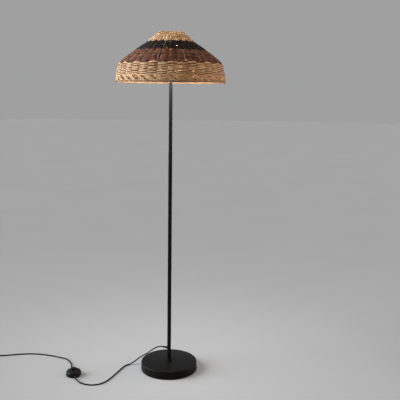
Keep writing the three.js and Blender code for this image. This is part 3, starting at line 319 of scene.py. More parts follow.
# Places where the bulb shows through thin canes: degrees from +X, height, and how strongly
LIT_SPOTS = [
    (256.6, 1.4672, 1.0), (229.9, 1.4853, 0.5), (244.0, 1.4800, 0.5), (259.0, 1.4863, 1.2),
    (271.3, 1.4831, 0.6), (284.8, 1.4870, 0.8), (302.0, 1.4820, 0.4), (320.1, 1.4885, 0.9),
    (255.5, 1.4368, 0.3), (267.5, 1.4369, 0.3), (258.6, 1.4520, 0.6), (268.1, 1.4508, 0.5),
    (273.7, 1.3618, 0.5), (278.3, 1.3622, 0.5), (284.4, 1.3691, 0.5), (267.0, 1.3381, 0.4),
    (274.4, 1.3429, 0.6), (278.5, 1.3416, 0.6), (291.3, 1.3251, 0.9), (274.3, 1.3235, 0.6),
    (304.0, 1.3420, 0.4), (222.0, 1.3000, 0.5), (232.0, 1.3010, 0.5), (243.0, 1.3000, 0.5),
    (272.8, 1.3014, 0.8), (291.3, 1.3029, 1.0), (301.4, 1.2980, 0.8), (309.0, 1.3010, 0.4),
    (317.6, 1.2990, 1.0), (326.1, 1.2990, 0.9),
]
LIT_ROUNDS = (0, 117, 238)  # the list again, turned by these degrees
LIT_WIDTH = 0.0055
LIT_HEIGHT = 0.0035

# Stage and light
FLOOR_RADIUS = 30.0
FLOOR_SIDES = 64
FLOOR_COLOUR = srgb(168, 171, 175)
FLOOR_PALER = srgb(173, 176, 180)
FLOOR_PATCHES = Pattern(1.4, 3)
FLOOR_BOUNCE = srgb(150, 114, 80)  # what the floor gives the object
BACKDROP_COLOUR = srgb(160, 160, 161)
WORLD_LIGHT = 0.12
WORLD_COLOUR = (1.0, 0.82, 0.63, 1)
# Suns: where they come from and their spread in degrees, and their strength
Sun = namedtuple("Sun", "name heading height spread strength colour")
SUNS = [
    Sun("key", heading=178, height=25, spread=52, strength=5.2, colour=(1, 1, 1)),
    Sun("fill", heading=-2, height=8, spread=40, strength=2.0, colour=(1.0, 0.83, 0.68)),
]
# Rings of lamps: their count, reach from the pole's axis, height, and watts in all
GLOW_RINGS = [(4, 0.041, 1.428, 1.5), (6, 0.10, 1.36, 1.6)]
GLOW_SIZE = 0.008
POOL_PLACE = (0, 0, 1.30)
POOL_SIZE = 0.36
POOL_POWER = 7.0  # watts
POOL_COLOUR = (1.0, 0.98, 0.95)

# Names of the values that a strand's mesh carries
STRAND_UV = "strand"
LIT = "lit"
RECESS = "recess"
SEED = 20

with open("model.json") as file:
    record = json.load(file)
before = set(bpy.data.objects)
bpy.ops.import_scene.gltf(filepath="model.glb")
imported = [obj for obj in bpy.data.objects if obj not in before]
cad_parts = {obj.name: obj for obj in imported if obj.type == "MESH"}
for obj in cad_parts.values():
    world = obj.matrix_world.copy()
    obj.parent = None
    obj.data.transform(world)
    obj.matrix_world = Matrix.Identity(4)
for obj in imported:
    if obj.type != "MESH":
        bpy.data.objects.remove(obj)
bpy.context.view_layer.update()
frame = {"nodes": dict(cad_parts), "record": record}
nodes = frame["nodes"]
rng = np.random.default_rng(SEED)


def add_object(name, data):
    added = bpy.data.objects.new(name, data)
    bpy.context.scene.collection.objects.link(added)
    return added


# Camera

def make_camera():
    data = bpy.data.cameras.new("camera")
    data.lens = LENS_MM
    data.sensor_width = SENSOR_MM
    data.shift_y = CAMERA_SHIFT
    camera = add_object("camera", data)
    turn = Matrix.Rotation(math.radians(CAMERA_TURN), 4, "Z")
    pitch = Matrix.Rotation(math.pi / 2 - math.radians(CAMERA_PITCH), 4, "X")
    roll = Matrix.Rotation(math.radians(CAMERA_ROLL), 4, "Z")
    camera.matrix_world = Matrix.Translation(CAMERA_PLACE) @ turn @ pitch @ roll
    bpy.context.scene.camera = camera


make_camera()


# Strands: flat oval tubes along lines of points

made = []


class Strands:
    """Collects strands of flat or round section, and makes one mesh of them."""

    def __init__(self, sides=STRAND_SIDES):
        self.sides = sides
        self.points, self.faces, self.uvs, self.depths, self.count = [], [], [], [], 0

    def add(self, points, outward, width, thickness, closed=False, depth=0.0):
        """A strand along the points; its width and thickness are one value or one a point."""
        if closed:
            along = np.roll(points, -1, axis=0) - np.roll(points, 1, axis=0)
        else:
            along = np.gradient(points, axis=0)
        along /= np.linalg.norm(along, axis=1)[:, None]
        side = np.cross(along, outward)
        side /= np.linalg.norm(side, axis=1)[:, None]
        up = np.cross(side, along)
        around = np.arange(self.sides) * TURN / self.sides
        width = np.broadcast_to(width, len(points))[:, None, None]
        thickness = np.broadcast_to(thickness, len(points))[:, None, None]
        rings = (
            points[:, None, :]
            + side[:, None, :] * width / 2 * np.cos(around)[None, :, None]
            + up[:, None, :] * thickness / 2 * np.sin(around)[None, :, None]
        )
        self.points.append(rings.reshape(-1, 3))
        self.depths.append(np.repeat(np.broadcast_to(depth, len(points)), self.sides))
        self.skin(points, closed)
        self.count += len(points) * self.sides

    def skin(self, points, closed):
        """The faces between a strand's rings, with its length in millimetres as U."""
        count, sides = len(points), self.sides
        gaps = np.linalg.norm(np.roll(points, -1, axis=0) - points, axis=1) / MM
        length = rng.uniform(0, STRAND_START) + np.concatenate([[0], np.cumsum(gaps)])
        for i in range(count if closed else count - 1):
            near, far = self.count + i * sides, self.count + (i + 1) % count * sides
            for k in range(sides):
                m = (k + 1) % sides
                self.faces.append((near + k, near + m, far + m, far + k))
                self.uvs += [
                    (length[i], k), (length[i], k + 1), (length[i + 1], k + 1), (length[i + 1], k)
                ]
        if not closed:
            first = [self.count + k for k in range(sides)]
            last = [self.count + (count - 1) * sides + k for k in range(sides)]
            self.faces += [tuple(reversed(first)), tuple(last)]
            self.uvs += [(length[0], k) for k in range(2 * sides)]

    def make(self, name, slot, *replaced):
        mesh = bpy.data.meshes.new(name)
        mesh.from_pydata(np.vstack(self.points).tolist(), [], self.faces)
        layer = mesh.uv_layers.new(name=STRAND_UV)
        layer.data.foreach_set("uv", np.array(self.uvs, np.float32).ravel())
        # Each point's depth, which the cane finish turns into painted shade
        recess = mesh.attributes.new(RECESS, "FLOAT", "POINT")
        recess.data.foreach_set("value", np.concatenate(self.depths).astype(np.float32))
        mesh.polygons.foreach_set("use_smooth", [True] * len(mesh.polygons))
        mesh.update()
        piece = add_object(name, mesh)
        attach(piece, "lamp")
        if replaced:
            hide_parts(*replaced)
        made.append((piece, slot))
        return piece


# Cords

def heading(degrees):
    angle = math.radians(degrees)
    return np.array([math.cos(angle), math.sin(angle), 0.0])


def smooth_line(points, samples):
    """A centripetal Catmull-Rom line through the points, as the CAD solid follows."""
    points = np.array(points, float)
    first = 2 * points[0] - points[1]
    last = 2 * points[-1] - points[-2]
    padded = np.vstack([first, points, last])
    line = []
    for i in range(len(points) - 1):
        a, b, c, d = padded[i:i + 4]
        before, here, after = (
            math.sqrt(np.linalg.norm(q - p)) for p, q in ((a, b), (b, c), (c, d))
        )
        start = (b - a) / before - (c - a) / (before + here) + (c - b) / here
        end = (c - b) / here - (d - b) / (here + after) + (d - c) / after
        for t in np.linspace(0, 1, samples, endpoint=False):
            line.append(
                b * (2 * t**3 - 3 * t**2 + 1)
                + start * here * (t**3 - 2 * t**2 + t)
                + c * (3 * t**2 - 2 * t**3)
                + end * here * (t**3 - t**2)
            )
    line.append(points[-1])
    return np.array(line)


def free_length(start, start_heading, route, end, end_heading):
    """A route with one diameter of straight cord at each end."""
    run = CORD_DIAMETER
    points = [start, start + run * start_heading, *route, end - run * end_heading, end]
    return smooth_line(points, CORD_SAMPLES)


def coil_line():
    """In on the lower layer, up where the spiral reverses, and out again on the upper one."""
    spread = COIL_PITCH * COIL_TURNS / 2
    outer = COIL_MIDDLE_RADIUS + spread / 2
    steps = round(COIL_TURNS * COIL_STEPS)
    line = []
    for i in range(steps + 1):
        turns = i / COIL_STEPS
        past = turns - COIL_TURNS / 2
        radius = outer - spread + COIL_PITCH * abs(past)
        climb = min(max(past / COIL_CLIMB_TURNS + 1 / 2, 0), 1)
        angle = TURN * (turns + COIL_START)
        line.append((
            COIL_CENTRE[0] + radius * math.cos(angle),
            COIL_CENTRE[1] + radius * math.sin(angle),
            COIL_HEIGHT + COIL_PITCH * climb,
        ))
    return np.array(line)


def cord_tube(name, line, *replaced):
    tube = Strands(CORD_SIDES)
    tube.add(line, np.tile(UP, (len(line), 1)), CORD_DIAMETER, CORD_DIAMETER)
    return tube.make(name, "cord_black", *replaced)


def make_tie():
    """A strap round the coil's two outermost turns, on both layers."""
    low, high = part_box("coil_tie")
    turns = TIE_HEADING / 360 + 1 - COIL_START
    outer = COIL_MIDDLE_RADIUS + COIL_PITCH * COIL_TURNS / 4 - COIL_PITCH * turns
    middle = outer - COIL_PITCH / 2
    half_across = COIL_PITCH / 2 + CORD_DIAMETER / 2 + TIE_ROOM
    half_up = (high.z - low.z) / 2 - TIE_THICKNESS / 2
    loop = []
    for quarter, (sx, sz) in enumerate(((1, 1), (-1, 1), (-1, -1), (1, -1))):
        for i in range(TIE_STEPS + 1):
            angle = TURN * (quarter + i / TIE_STEPS) / 4
            loop.append((
                sx * (half_across - TIE_CORNER) + TIE_CORNER * math.cos(angle),
                sz * (half_up - TIE_CORNER) + TIE_CORNER * math.sin(angle),
            ))
    loop = np.array(loop)
    radial = heading(TIE_HEADING)
    centre = np.array([*COIL_CENTRE, 0]) + middle * radial + (0, 0, (low.z + high.z) / 2)
    points = centre + loop[:, :1] * radial + loop[:, 1:] * UP
    away = loop / np.linalg.norm(loop, axis=1)[:, None]
    outward = away[:, :1] * radial + away[:, 1:] * UP
    strap = Strands()
    strap.add(points, outward, TIE_WIDTH, TIE_THICKNESS, closed=True)
    return strap.make("cord_tie", "felt", "coil_tie")


def make_cords():
    exit_point = EXIT_REACH * heading(EXIT_HEADING) + (0, 0, EXIT_HEIGHT)
    through = heading(SWITCH_HEADING)
    switch_in = np.array(SWITCH_CENTRE) - SWITCH_REACH * through
    switch_out = np.array(SWITCH_CENTRE) + SWITCH_REACH * through
    to_switch = free_length(exit_point, heading(EXIT_HEADING), ROUTE_TO_SWITCH, switch_in, through)

    coil = coil_line()
    coil_start = coil[0] + (CORD_DIAMETER, 0, 0)
    coil_end = coil[-1] - (0, CORD_DIAMETER, 0)
    entry, onward = heading(COIL_ENTRY_HEADING), heading(PLUG_HEADING)
    to_coil = free_length(switch_out, through, ROUTE_TO_COIL, coil_start, entry)
    to_plug = free_length(coil_end, onward, ROUTE_TO_PLUG, np.array(PLUG_TAIL), onward)

    first = cord_tube("cord_pole_to_switch", to_switch, "cord_to_switch")
    to_plug_end = np.vstack([to_coil, coil, to_plug])
    second = cord_tube(
        "cord_switch_to_plug", to_plug_end, "cord_to_coil", "cord_coil", "cord_to_plug"
    )
    make_tie()


make_cords()


# Materials

class Finish:
    """A material, and short ways to add the nodes that vary it."""

    def __init__(self, name, colour, roughness, **sockets):
        self.material = bpy.data.materials.new(name)
        self.material.use_nodes = True
        self.tree = self.material.node_tree
        self.shader = self.tree.nodes["Principled BSDF"]
        self.set("Base Color", colour)
        self.set("Roughness", roughness)
        for socket, value in sockets.items():
            self.set(socket.replace("_", " "), value)

    def set(self, socket, value):
        self.shader.inputs[socket].default_value = value

    def feed(self, target, value):
        """Another node's output, or a plain value, into a socket."""
        if isinstance(value, bpy.types.NodeSocket):
            self.tree.links.new(value, target)
        else:
            target.default_value = value

    def add(self, kind, **inputs):
        node = self.tree.nodes.new(kind)
        for socket, value in inputs.items():
            self.feed(node.inputs[socket.replace("_", " ")], value)
        return node

    def link(self, source, socket):
        self.tree.links.new(source, self.shader.inputs[socket])

    def noise(self, pattern, uv=None):
        """A pattern looked up in the piece's own space, or along its strands."""
        if uv:
            source = self.add("ShaderNodeUVMap")
            source.uv_map = uv
            vector = source.outputs["UV"]
        else:
            vector = self.add("ShaderNodeTexCoord").outputs["Object"]
        place = self.add("ShaderNodeMapping", Vector=vector, Scale=pattern.stretch)
        node = self.add(
            "ShaderNodeTexNoise", Vector=place.outputs["Vector"],
            Scale=pattern.scale, Detail=pattern.detail,
        )
        return node.outputs["Fac"]

    def point_value(self, name):
        """A value that the mesh carries at its points."""
        node = self.add("ShaderNodeAttribute")
        node.attribute_name = name
        return node.outputs["Fac"]

    def times(self, first, second):
        node = self.add("ShaderNodeMath")
        node.operation = "MULTIPLY"
        self.feed(node.inputs[0], first)
        self.feed(node.inputs[1], second)
        return node.outputs["Value"]

    def ramp(self, source, stops):
        node = self.add("ShaderNodeValToRGB", Fac=source)
        elements = node.color_ramp.elements
        while len(elements) < len(stops):
            elements.new(1 / 2)
        for element, (place, colour) in zip(elements, stops, strict=True):
            element.position = place
            element.color = colour
        return node.outputs["Color"]

    def fade(self, source, places, first=BLACK, second=WHITE):
        """One colour up to the first place, another from the second one on."""
        return self.ramp(source, [(places[0], first), (places[1], second)])

    def spread(self, source, low, high):
        """A 0 to 1 value, taken to the range from low to high."""
        node = self.add("ShaderNodeMapRange", Value=source, To_Min=low, To_Max=high)
        return node.outputs["Result"]

    def mix(self, share, first, second, blend="MIX"):
        node = self.tree.nodes.new("ShaderNodeMix")
        node.data_type = "RGBA"
        node.blend_type = blend
        for socket, value in (("Factor_Float", share), ("A_Color", first), ("B_Color", second)):
            self.feed(next(i for i in node.inputs if i.identifier == socket), value)
        return next(o for o in node.outputs if o.identifier == "Result_Color")

    def bump(self, height, strength, distance):
        node = self.add("ShaderNodeBump", Height=height, Strength=strength, Distance=distance)
        self.link(node.outputs["Normal"], "Normal")


def cane(name, tones, streak, roughness, gloss, glow=0.0):
    """Split cane: tones that change from strand to strand and along each, and fine streaks."""
    finish = Finish(name, tones[0], roughness, Specular_IOR_Level=gloss)
    finish.set("Subsurface Weight", glow)
    finish.set("Subsurface Radius", CANE_GLOW_RADIUS)
    finish.set("Subsurface Scale", CANE_GLOW_DEPTH)
    island = finish.add("ShaderNodeNewGeometry").outputs["Random Per Island"]
    drift = finish.fade(finish.noise(CANE_DRIFT, STRAND_UV), CANE_DRIFT_STOPS)
    stops = [(i / (len(tones) - 1), tone) for i, tone in enumerate(tones)]
    tone = finish.ramp(finish.mix(CANE_DRIFT_SHARE, island, drift), stops)
    fibres = finish.noise(CANE_FIBRES, STRAND_UV)
    streaked = finish.mix(finish.fade(fibres, CANE_FIBRE_STOPS), tone, streak)
    patches = finish.fade(finish.noise(CANE_PATCHES), CANE_PATCH_STOPS, CANE_PATCH_TONE)
    patched = finish.mix(CANE_PATCH_SHARE, streaked, patches, "MULTIPLY")
    # Painted shade, with some dust: canes that lie deep in the weave darken towards the recess tone
    recess = finish.point_value(RECESS)
    recess_shade = finish.mix(recess, WHITE, RECESS_SHADE_TONE)
    finish.link(finish.mix(1.0, patched, recess_shade, "MULTIPLY"), "Base Color")
    lit = finish.times(finish.point_value(LIT), recess)
    finish.set("Emission Color", LIT_COLOUR)
    finish.link(finish.spread(lit, 0, LIT_STRENGTH), "Emission Strength")
    ends = roughness - CANE_SMOOTHER, roughness + CANE_ROUGHER
    finish.link(finish.spread(fibres, *ends), "Roughness")
    finish.bump(fibres, *CANE_FIBRE_RELIEF)
    return finish.material


def surface(name, colour, roughness, patches, relief, gloss, metallic=0.0):
    """One colour with patches of another tone, smoother or rougher, and a fine relief."""
    finish = Finish(name, colour, roughness, Specular_IOR_Level=gloss, Metallic=metallic)
    cloud = finish.noise(patches.pattern)
    tone = tuple(min(1, patches.gain * c + patches.lift) for c in colour[:3]) + (1,)
    finish.link(finish.mix(finish.spread(cloud, 0, patches.share), colour, tone), "Base Color")
    ends = roughness - patches.smoother, roughness + patches.rougher
    finish.link(finish.spread(cloud, *ends), "Roughness")
    finish.bump(finish.noise(relief.pattern), relief.strength, relief.depth)
    return finish.material


def paint(name, colour, roughness):
    """Powder paint: a fine orange peel, and dust that dulls it in soft patches."""
    return surface(name, colour, roughness, PAINT_DUST, PAINT_PEEL, PAINT_GLOSS)


def plastic(name, colour, roughness):
    """Moulded plastic: a fine sparked grain, and smears from handling."""
    return surface(name, colour, roughness, PLASTIC_SMEARS, PLASTIC_GRAIN, PLASTIC_GLOSS)


def metal(name, colour, roughness):
    """Bare or plated metal with the marks of brushing."""
    return surface(name, colour, roughness, METAL_DULL, METAL_LINES, METAL_GLOSS, metallic=1.0)


def sheath(name, colour, roughness):
    """The cord's sheath, with a fine grain and duller smears."""
    return surface(name, colour, roughness, SHEATH_SMEARS, SHEATH_GRAIN, SHEATH_GLOSS)


def matt(name, colour, grain, depth):
    """Felt, cast concrete and unglazed ceramic: dull, with a grain of their own."""
    finish = Finish(name, colour, MATT_ROUGHNESS)
    specks = finish.noise(Pattern(grain, MATT_DETAIL))
    darker = tuple(MATT_GAIN * c for c in colour[:3]) + (1,)
    share = finish.fade(specks, MATT_STOPS, WHITE, BLACK)
    finish.link(finish.mix(share, colour, darker), "Base Color")
    finish.bump(specks, MATT_STRENGTH, depth)
    return finish.material


def opal(name):
    """The lit bulb: an even warm glow on faintly clouded glass."""
    finish = Finish(name, BULB_GLASS, BULB_ROUGHNESS)
    finish.set("Emission Color", BULB_GLOW)
    finish.set("Emission Strength", BULB_STRENGTH)
    share = finish.spread(finish.noise(BULB_CLOUD), 0, BULB_CLOUD_SHARE)
    finish.link(finish.mix(share, BULB_GLASS, BULB_CLOUDED), "Base Color")
    return finish.material


finishes = {
    "black_paint": paint("powder_black", srgb(16, 16, 16), roughness=0.36),
    "zinc": metal("zinc_plate", srgb(176, 178, 180), roughness=0.35),
    "brass": metal("brass_bright", srgb(196, 158, 88), roughness=0.3),
    "cast": matt("cast_concrete", srgb(128, 125, 120), grain=220, depth=0.0006),
    "felt": matt("black_felt", srgb(34, 34, 34), grain=1500, depth=0.0004),
    "black_plastic": plastic("moulded_black", srgb(18, 18, 19), roughness=0.4),
    "cord_black": sheath("sheath_black", srgb(14, 14, 15), roughness=0.42),
    "ceramic": matt("white_ceramic", srgb(224, 221, 212), grain=400, depth=0.0001),
    "opal_glass": opal("opal_lit"),
    "white_plastic": plastic("moulded_white", srgb(230, 228, 223), roughness=0.42),
    "wire": paint("wire_black", srgb(34, 34, 35), roughness=0.5),
    "natural_cane": cane("cane_natural", [
        srgb(212, 171, 128), srgb(242, 209, 168), srgb(222, 183, 139), srgb(250, 225, 187),
        srgb(214, 173, 128), srgb(244, 211, 169),
    ], streak=srgb(148, 98, 56), roughness=0.48, gloss=0.5, glow=0.5),
    "black_cane": cane("cane_black", [
        srgb(26, 20, 17), srgb(48, 37, 33), srgb(18, 14, 12), srgb(70, 57, 51), srgb(36, 28, 24),
    ], streak=srgb(14, 10, 9), roughness=0.6, gloss=0.1),
    "brown_cane": cane("cane_brown", [
        srgb(122, 77, 59), srgb(72, 42, 31), srgb(156, 107, 85), srgb(96, 58, 44),
        srgb(54, 32, 24),
    ], streak=srgb(40, 24, 18), roughness=0.6, gloss=0.15),
}


# CAD nodes: the record's slot gives each its finish, and a modifier smooths its facets

def smoothing():
    """A modifier's node tree that joins the facets and keeps edges sharp past an angle."""
    tree = bpy.data.node_groups.new("smooth_facets", "GeometryNodeTree")
    for way in ("INPUT", "OUTPUT"):
        tree.interface.new_socket("Geometry", in_out=way, socket_type="NodeSocketGeometry")
    add = tree.nodes.new
    source, result = add("NodeGroupInput"), add("NodeGroupOutput")
    weld = add("GeometryNodeMergeByDistance")
    weld.inputs["Distance"].default_value = SMOOTH_MERGE
    plain = add("GeometryNodeRemoveAttribute")
    plain.inputs["Name"].default_value = "custom_normal"
    faces = add("GeometryNodeSetShadeSmooth")
    edges = add("GeometryNodeSetShadeSmooth")
    edges.domain = "EDGE"
    angle = add("GeometryNodeInputMeshEdgeAngle")
    soft = add("FunctionNodeCompare")
    soft.operation = "LESS_THAN"
    soft.inputs["B"].default_value = math.radians(SMOOTH_DEGREES)
    chain = [source, weld, plain, faces, edges, result]
    for here, after in zip(chain, chain[1:]):
        target = next(i for i in after.inputs if i.type == "GEOMETRY")
        tree.links.new(here.outputs[0], target)
    tree.links.new(angle.outputs["Unsigned Angle"], soft.inputs["A"])
    tree.links.new(soft.outputs["Result"], edges.inputs["Shade Smooth"])
    return tree


smooth_tree = smoothing()
slot_of = {row["node"]: row["material_slot"] for row in frame["record"]["subparts"]}

for name, node in nodes.items():
    node.data.materials.clear()
    node.data.materials.append(finishes[slot_of[name]])
    node.modifiers.new("smooth_facets", "NODES").node_group = smooth_tree


# The shade's wall: a line that turns about the pole, measured along its slope

def bulged(start, end):
    """A band's line, which swells outward a little between its ends."""
    start, end = np.array(start), np.array(end)
    along = (end - start) / np.linalg.norm(end - start)
    outward = np.array([-along[1], along[0]])
    t = np.linspace(0, 1, WALL_STEPS)[:, None]
    return start + (end - start) * t + outward * 4 * BAND_BULGE * t * (1 - t)


def wall_line():
    """The bands' lines end to end, with the shoulder between the last two rounded."""
    corner = np.array(SHOULDER)
    towards = [np.array(end) - corner for end in (BLACK_FOOT, RIM_ROLL)]
    before, after = (corner + SHOULDER_REACH * d / np.linalg.norm(d) for d in towards)
    t = np.linspace(0, 1, WALL_STEPS)[:, None]
    rounded = before * (1 - t) ** 2 + corner * 2 * t * (1 - t) + after * t**2
    pieces = [
        bulged(TOP_ROLL, CROWN_FOOT), bulged(CROWN_FOOT, BLACK_FOOT),
        bulged(BLACK_FOOT, before), rounded, bulged(after, RIM_ROLL),
    ]
    return np.vstack([pieces[0], *(piece[1:] for piece in pieces[1:])])


wall = wall_line()
wall_slopes = np.concatenate([[0], np.cumsum(np.linalg.norm(np.diff(wall, axis=0), axis=1))])
wall_along = np.gradient(wall, wall_slopes, axis=0)
wall_along /= np.linalg.norm(wall_along, axis=1)[:, None]


def slope_at(height):
    """How far down the wall a height is."""
    return np.interp(-height, -wall[:, 1], wall_slopes)


def radius_at(slope):
    return np.interp(slope, wall_slopes, wall[:, 0])


def wall_at(slope):
    """The wall's radius and height there, and its outward direction."""
    height, along_r, along_z = (
        np.interp(slope, wall_slopes, column)
        for column in (wall[:, 1], wall_along[:, 0], wall_along[:, 1])
    )
    return radius_at(slope), height, -along_z, along_r


def turned(radius, height, out_r, out_z, angle):
    """A line's points and outward directions, each turned to its own angle."""
    points = np.stack([radius * np.cos(angle), radius * np.sin(angle), height], axis=1)
    outward = np.stack([out_r * np.cos(angle), out_r * np.sin(angle), out_z], axis=1)
    return points, outward


def on_wall(slope, angle, lift):
    """Points lift above the wall's middle, and the outward direction at each."""
    radius, height, out_r, out_z = wall_at(slope)
    return turned(radius + out_r * lift, height + out_z * lift, out_r, out_z, angle)


def over_border(end, lift):
    """What wall_at gives, along a line from inside the shade over the top border."""
    _, _, first_r, first_z = wall_at(0)
    around = np.linspace(math.pi, math.atan2(first_z, first_r), BORDER_STEPS)
    rise = np.linspace(-TUCK, 0, BORDER_STEPS // 2, endpoint=False)
    slope = np.linspace(0, end, CROWN_STEPS)[1:]
    lifts = BORDER_ROLL + (lift - BORDER_ROLL) * np.clip(slope / TUCK, 0, 1)
    radius, height, out_r, out_z = wall_at(slope)
    inside, flat = np.full_like(rise, TOP_ROLL[0] - BORDER_ROLL), np.zeros_like(rise)
    return (
        np.concatenate([
            inside, TOP_ROLL[0] + BORDER_ROLL * np.cos(around), radius + out_r * lifts
        ]),
        np.concatenate([
            TOP_ROLL[1] + rise, TOP_ROLL[1] + BORDER_ROLL * np.sin(around), height + out_z * lifts
        ]),
        np.concatenate([flat - 1, np.cos(around), out_r]),
        np.concatenate([flat, np.sin(around), out_z]),
    )


# Weave

def wave(angle, modes, amplitude):
    """A slow wander along a line, which meets itself after a whole turn."""
    total = np.zeros_like(angle)
    for mode in modes:
        total += rng.normal(0, amplitude) * np.sin(mode * angle + rng.uniform(0, TURN))
    return total


warp_phases = rng.uniform(0, TURN, len(WARP_MODES))


def warp(angle):
    """Moves the stakes off an even spacing, and the weavers' waves with them."""
    total = np.array(angle, float)
    for mode, phase in zip(WARP_MODES, warp_phases, strict=True):
        total += WARP_SHARE / mode * np.sin(mode * angle + phase)
    return total


round_angles = np.arange(STAKES * STEPS_PER_STAKE) * TURN / (STAKES * STEPS_PER_STAKE)


def round_wave(modes, amplitude):
    return wave(round_angles, modes, amplitude)


def parted(slope, angle):
    """Pushes the canes aside where they stand apart, and lets light through."""
    for degrees, height, gap in PARTINGS:
        away = (angle - math.radians(degrees) + math.pi) % TURN - math.pi
        middle = slope_at(height)
        arc = away * radius_at(middle)
        past = slope - middle
        near = np.exp(-(arc / PARTING_WIDTH) ** 2 - (past / PARTING_REACH) ** 2)
        slope = slope + gap * np.tanh(past / PARTING_EDGE) * near
    return slope


def weave_band(strands, top, bottom, look):
    """Rows of paired canes that pass outside one stake and inside the next."""
    shares = rng.uniform(1 - look.uneven, 1 + look.uneven, look.rows)
    edges = top + (bottom - top) * np.concatenate([[0], np.cumsum(shares)]) / shares.sum()
    drift = round_wave(BAND_MODES, look.wander)
    for row in range(look.rows):
        middle, pitch = (edges[row] + edges[row + 1]) / 2, edges[row + 1] - edges[row]
        wind = np.cos(round_angles * STAKES / 2) * (1 if row % 2 else -1)
        over = np.sign(wind) * np.abs(wind) ** LIFT_POWER
        over *= 1 + round_wave(LIFT_MODES, LIFT_WANDER)
        spread = 1 + look.fan * np.abs(over)
        # Painted shade: rows darken where they pass inside a stake, and all over by the band's depth
        depth = np.clip(1 / 2 + look.depth - over, look.depth, 1)
        own = drift + round_wave(ROW_MODES, look.wander * ROW_WANDER_SHARE)
        for side in (-1, 1):
            slope = middle + own + side * pitch / 4 * spread
            slope += round_wave(CANE_MODES, look.wander * CANE_WANDER_SHARE)
            slope = np.clip(slope, top - pitch / 2, bottom + pitch / 2)
            slope = parted(slope, warp(round_angles))
            lift = look.reach * over + look.ripple * np.cos(STAKES * round_angles)
            lift += round_wave(SURFACE_MODES, look.thickness * SURFACE_SHARE)
            points, outward = on_wall(slope, warp(round_angles), lift)
            width = look.cover * pitch / 2 * spread * rng.uniform(*WIDTH_SHARES)
            width *= 1 + round_wave(WIDTH_MODES, WIDTH_WANDER)
            thickness = look.thickness * rng.uniform(*THICKNESS_SHARES)
            strands.add(points, outward, width, thickness, closed=True, depth=depth)


def rod_pair(strands, slope, middle, lift, width, thickness, depth):
    """Two canes side by side down the wall."""
    for side in (-1, 1):
        bend = wave(np.linspace(0, math.pi, len(slope)), STAKE_MODES, STAKE_WANDER)
        angle = middle + (side * STAKE_SPREAD + bend) / radius_at(slope)
        points, outward = on_wall(slope, angle, lift)
        strands.add(points, outward, width, thickness, depth=depth)


def stakes(strands, top, bottom):
    slope = np.linspace(top, bottom, STAKE_STEPS)
    thick = 2 * STAKE_RADIUS
    for k in range(STAKES):
        middle = float(warp(k * TURN / STAKES))
        rod_pair(strands, slope, middle, np.zeros(STAKE_STEPS), thick, thick, STAKE_DEPTH)


def shown_stakes(strands, top, bottom):
    """Pairs of canes that run down over the brown band, and dive in at its ends."""
    slope = np.linspace(top, bottom, STAKE_STEPS)
    rise = np.sin(np.linspace(0, math.pi, STAKE_STEPS)) ** SHOWN_POWER
    lift = SHOWN_LIFT * (2 * rise - 1)
    for degrees in SHOWN_STAKES:
        middle = math.radians(degrees)
        rod_pair(strands, slope, middle, lift, SHOWN_WIDTH, SHOWN_THICKNESS, SHOWN_DEPTH)


def rope(strands, look):
    """Strands wound round a ring, as on a rolled border."""
    angle = np.arange(ROPE_STEPS) * TURN / ROPE_STEPS
    for k in range(look.canes):
        wind = look.twists * angle + TURN * k / look.canes
        wind += wave(angle, ROPE_MODES, ROPE_WANDER)
        out_r, out_z = np.cos(wind), np.sin(wind)
        radius, height = look.centre[0] + look.roll * out_r, look.centre[1] + look.roll * out_z
        points, outward = turned(radius, height, out_r, out_z, angle)
        size = look.width, look.thickness
        strands.add(points, outward, *size, closed=True, depth=look.depth)


crown_end, black_end, brown_end, open_row = (
    slope_at(height) for height in (CROWN_END_HEIGHT, BLACK_FOOT[1], SHOULDER[1], OPEN_ROW_HEIGHT)
)
rim_end = wall_slopes[-1]


def crown_bundles(crown):
    """Bundles of canes, from inside the shade over the top border and down."""
    spacing = TURN / CROWN_BUNDLES
    for k in range(CROWN_BUNDLES):
        lean = rng.normal(*CROWN_LEAN) * spacing
        head = math.radians(CROWN_TURN) + (k + rng.normal(0, BUNDLE_SPREAD)) * spacing
        for strand in range(BUNDLE_CANES):
            place = strand - (BUNDLE_CANES - 1) / 2
            end = CROWN_ROWS_TOP + rng.uniform(*BUNDLE_ENDS)
            lift = BUNDLE_LIFT + rng.normal(0, BUNDLE_LIFT_SPREAD)
            radius, height, out_r, out_z = over_border(end, lift)
            t = np.linspace(0, 1, len(radius))
            fan = 1 + BUNDLE_FAN * t**2
            angle = head - lean * t + place * BUNDLE_PITCH * fan / radius
            points, outward = turned(radius, height, out_r, out_z, angle)
            width = rng.uniform(*BUNDLE_WIDTHS)
            depth = BUNDLE_DEPTH + BUNDLE_DEEPER * t
            crown.add(points, outward, width, BUNDLE_THICKNESS, depth=depth)


def crown_crossers(crown):
    """Thin canes that run aslant over the crown, both ways."""
    t = np.linspace(0, 1, CROWN_STEPS)
    for _ in range(CROWN_CROSSERS):
        first = rng.uniform(0, TURN)
        sweep = rng.choice([-1, 1]) * rng.uniform(*CROSSER_SWEEPS)
        start, end = rng.uniform(*CROSSER_STARTS), rng.uniform(*CROSSER_ENDS)
        angle = first + sweep * t + CROSSER_BEND * np.sin(TURN * t + first)
        slope = parted(crown_end * (start + (end - start) * t), angle)
        rise = np.sin(math.pi * t) ** CROSSER_POWER
        points, outward = on_wall(slope, angle, CROSSER_LIFT * rise - CROSSER_SINK)
        crown.add(points, outward, CROSSER_WIDTH, CROSSER_THICKNESS, depth=CROSSER_DEPTH)


def make_crown():
    """Loose rows, bundles that turn over the top border, and crossing canes."""
    crown = Strands()
    weave_band(crown, CROWN_ROWS_TOP, crown_end, CROWN_WEAVE)
    crown_bundles(crown)
    crown_crossers(crown)
    crown.make("cane_crown", "natural_cane", "weave_crown")


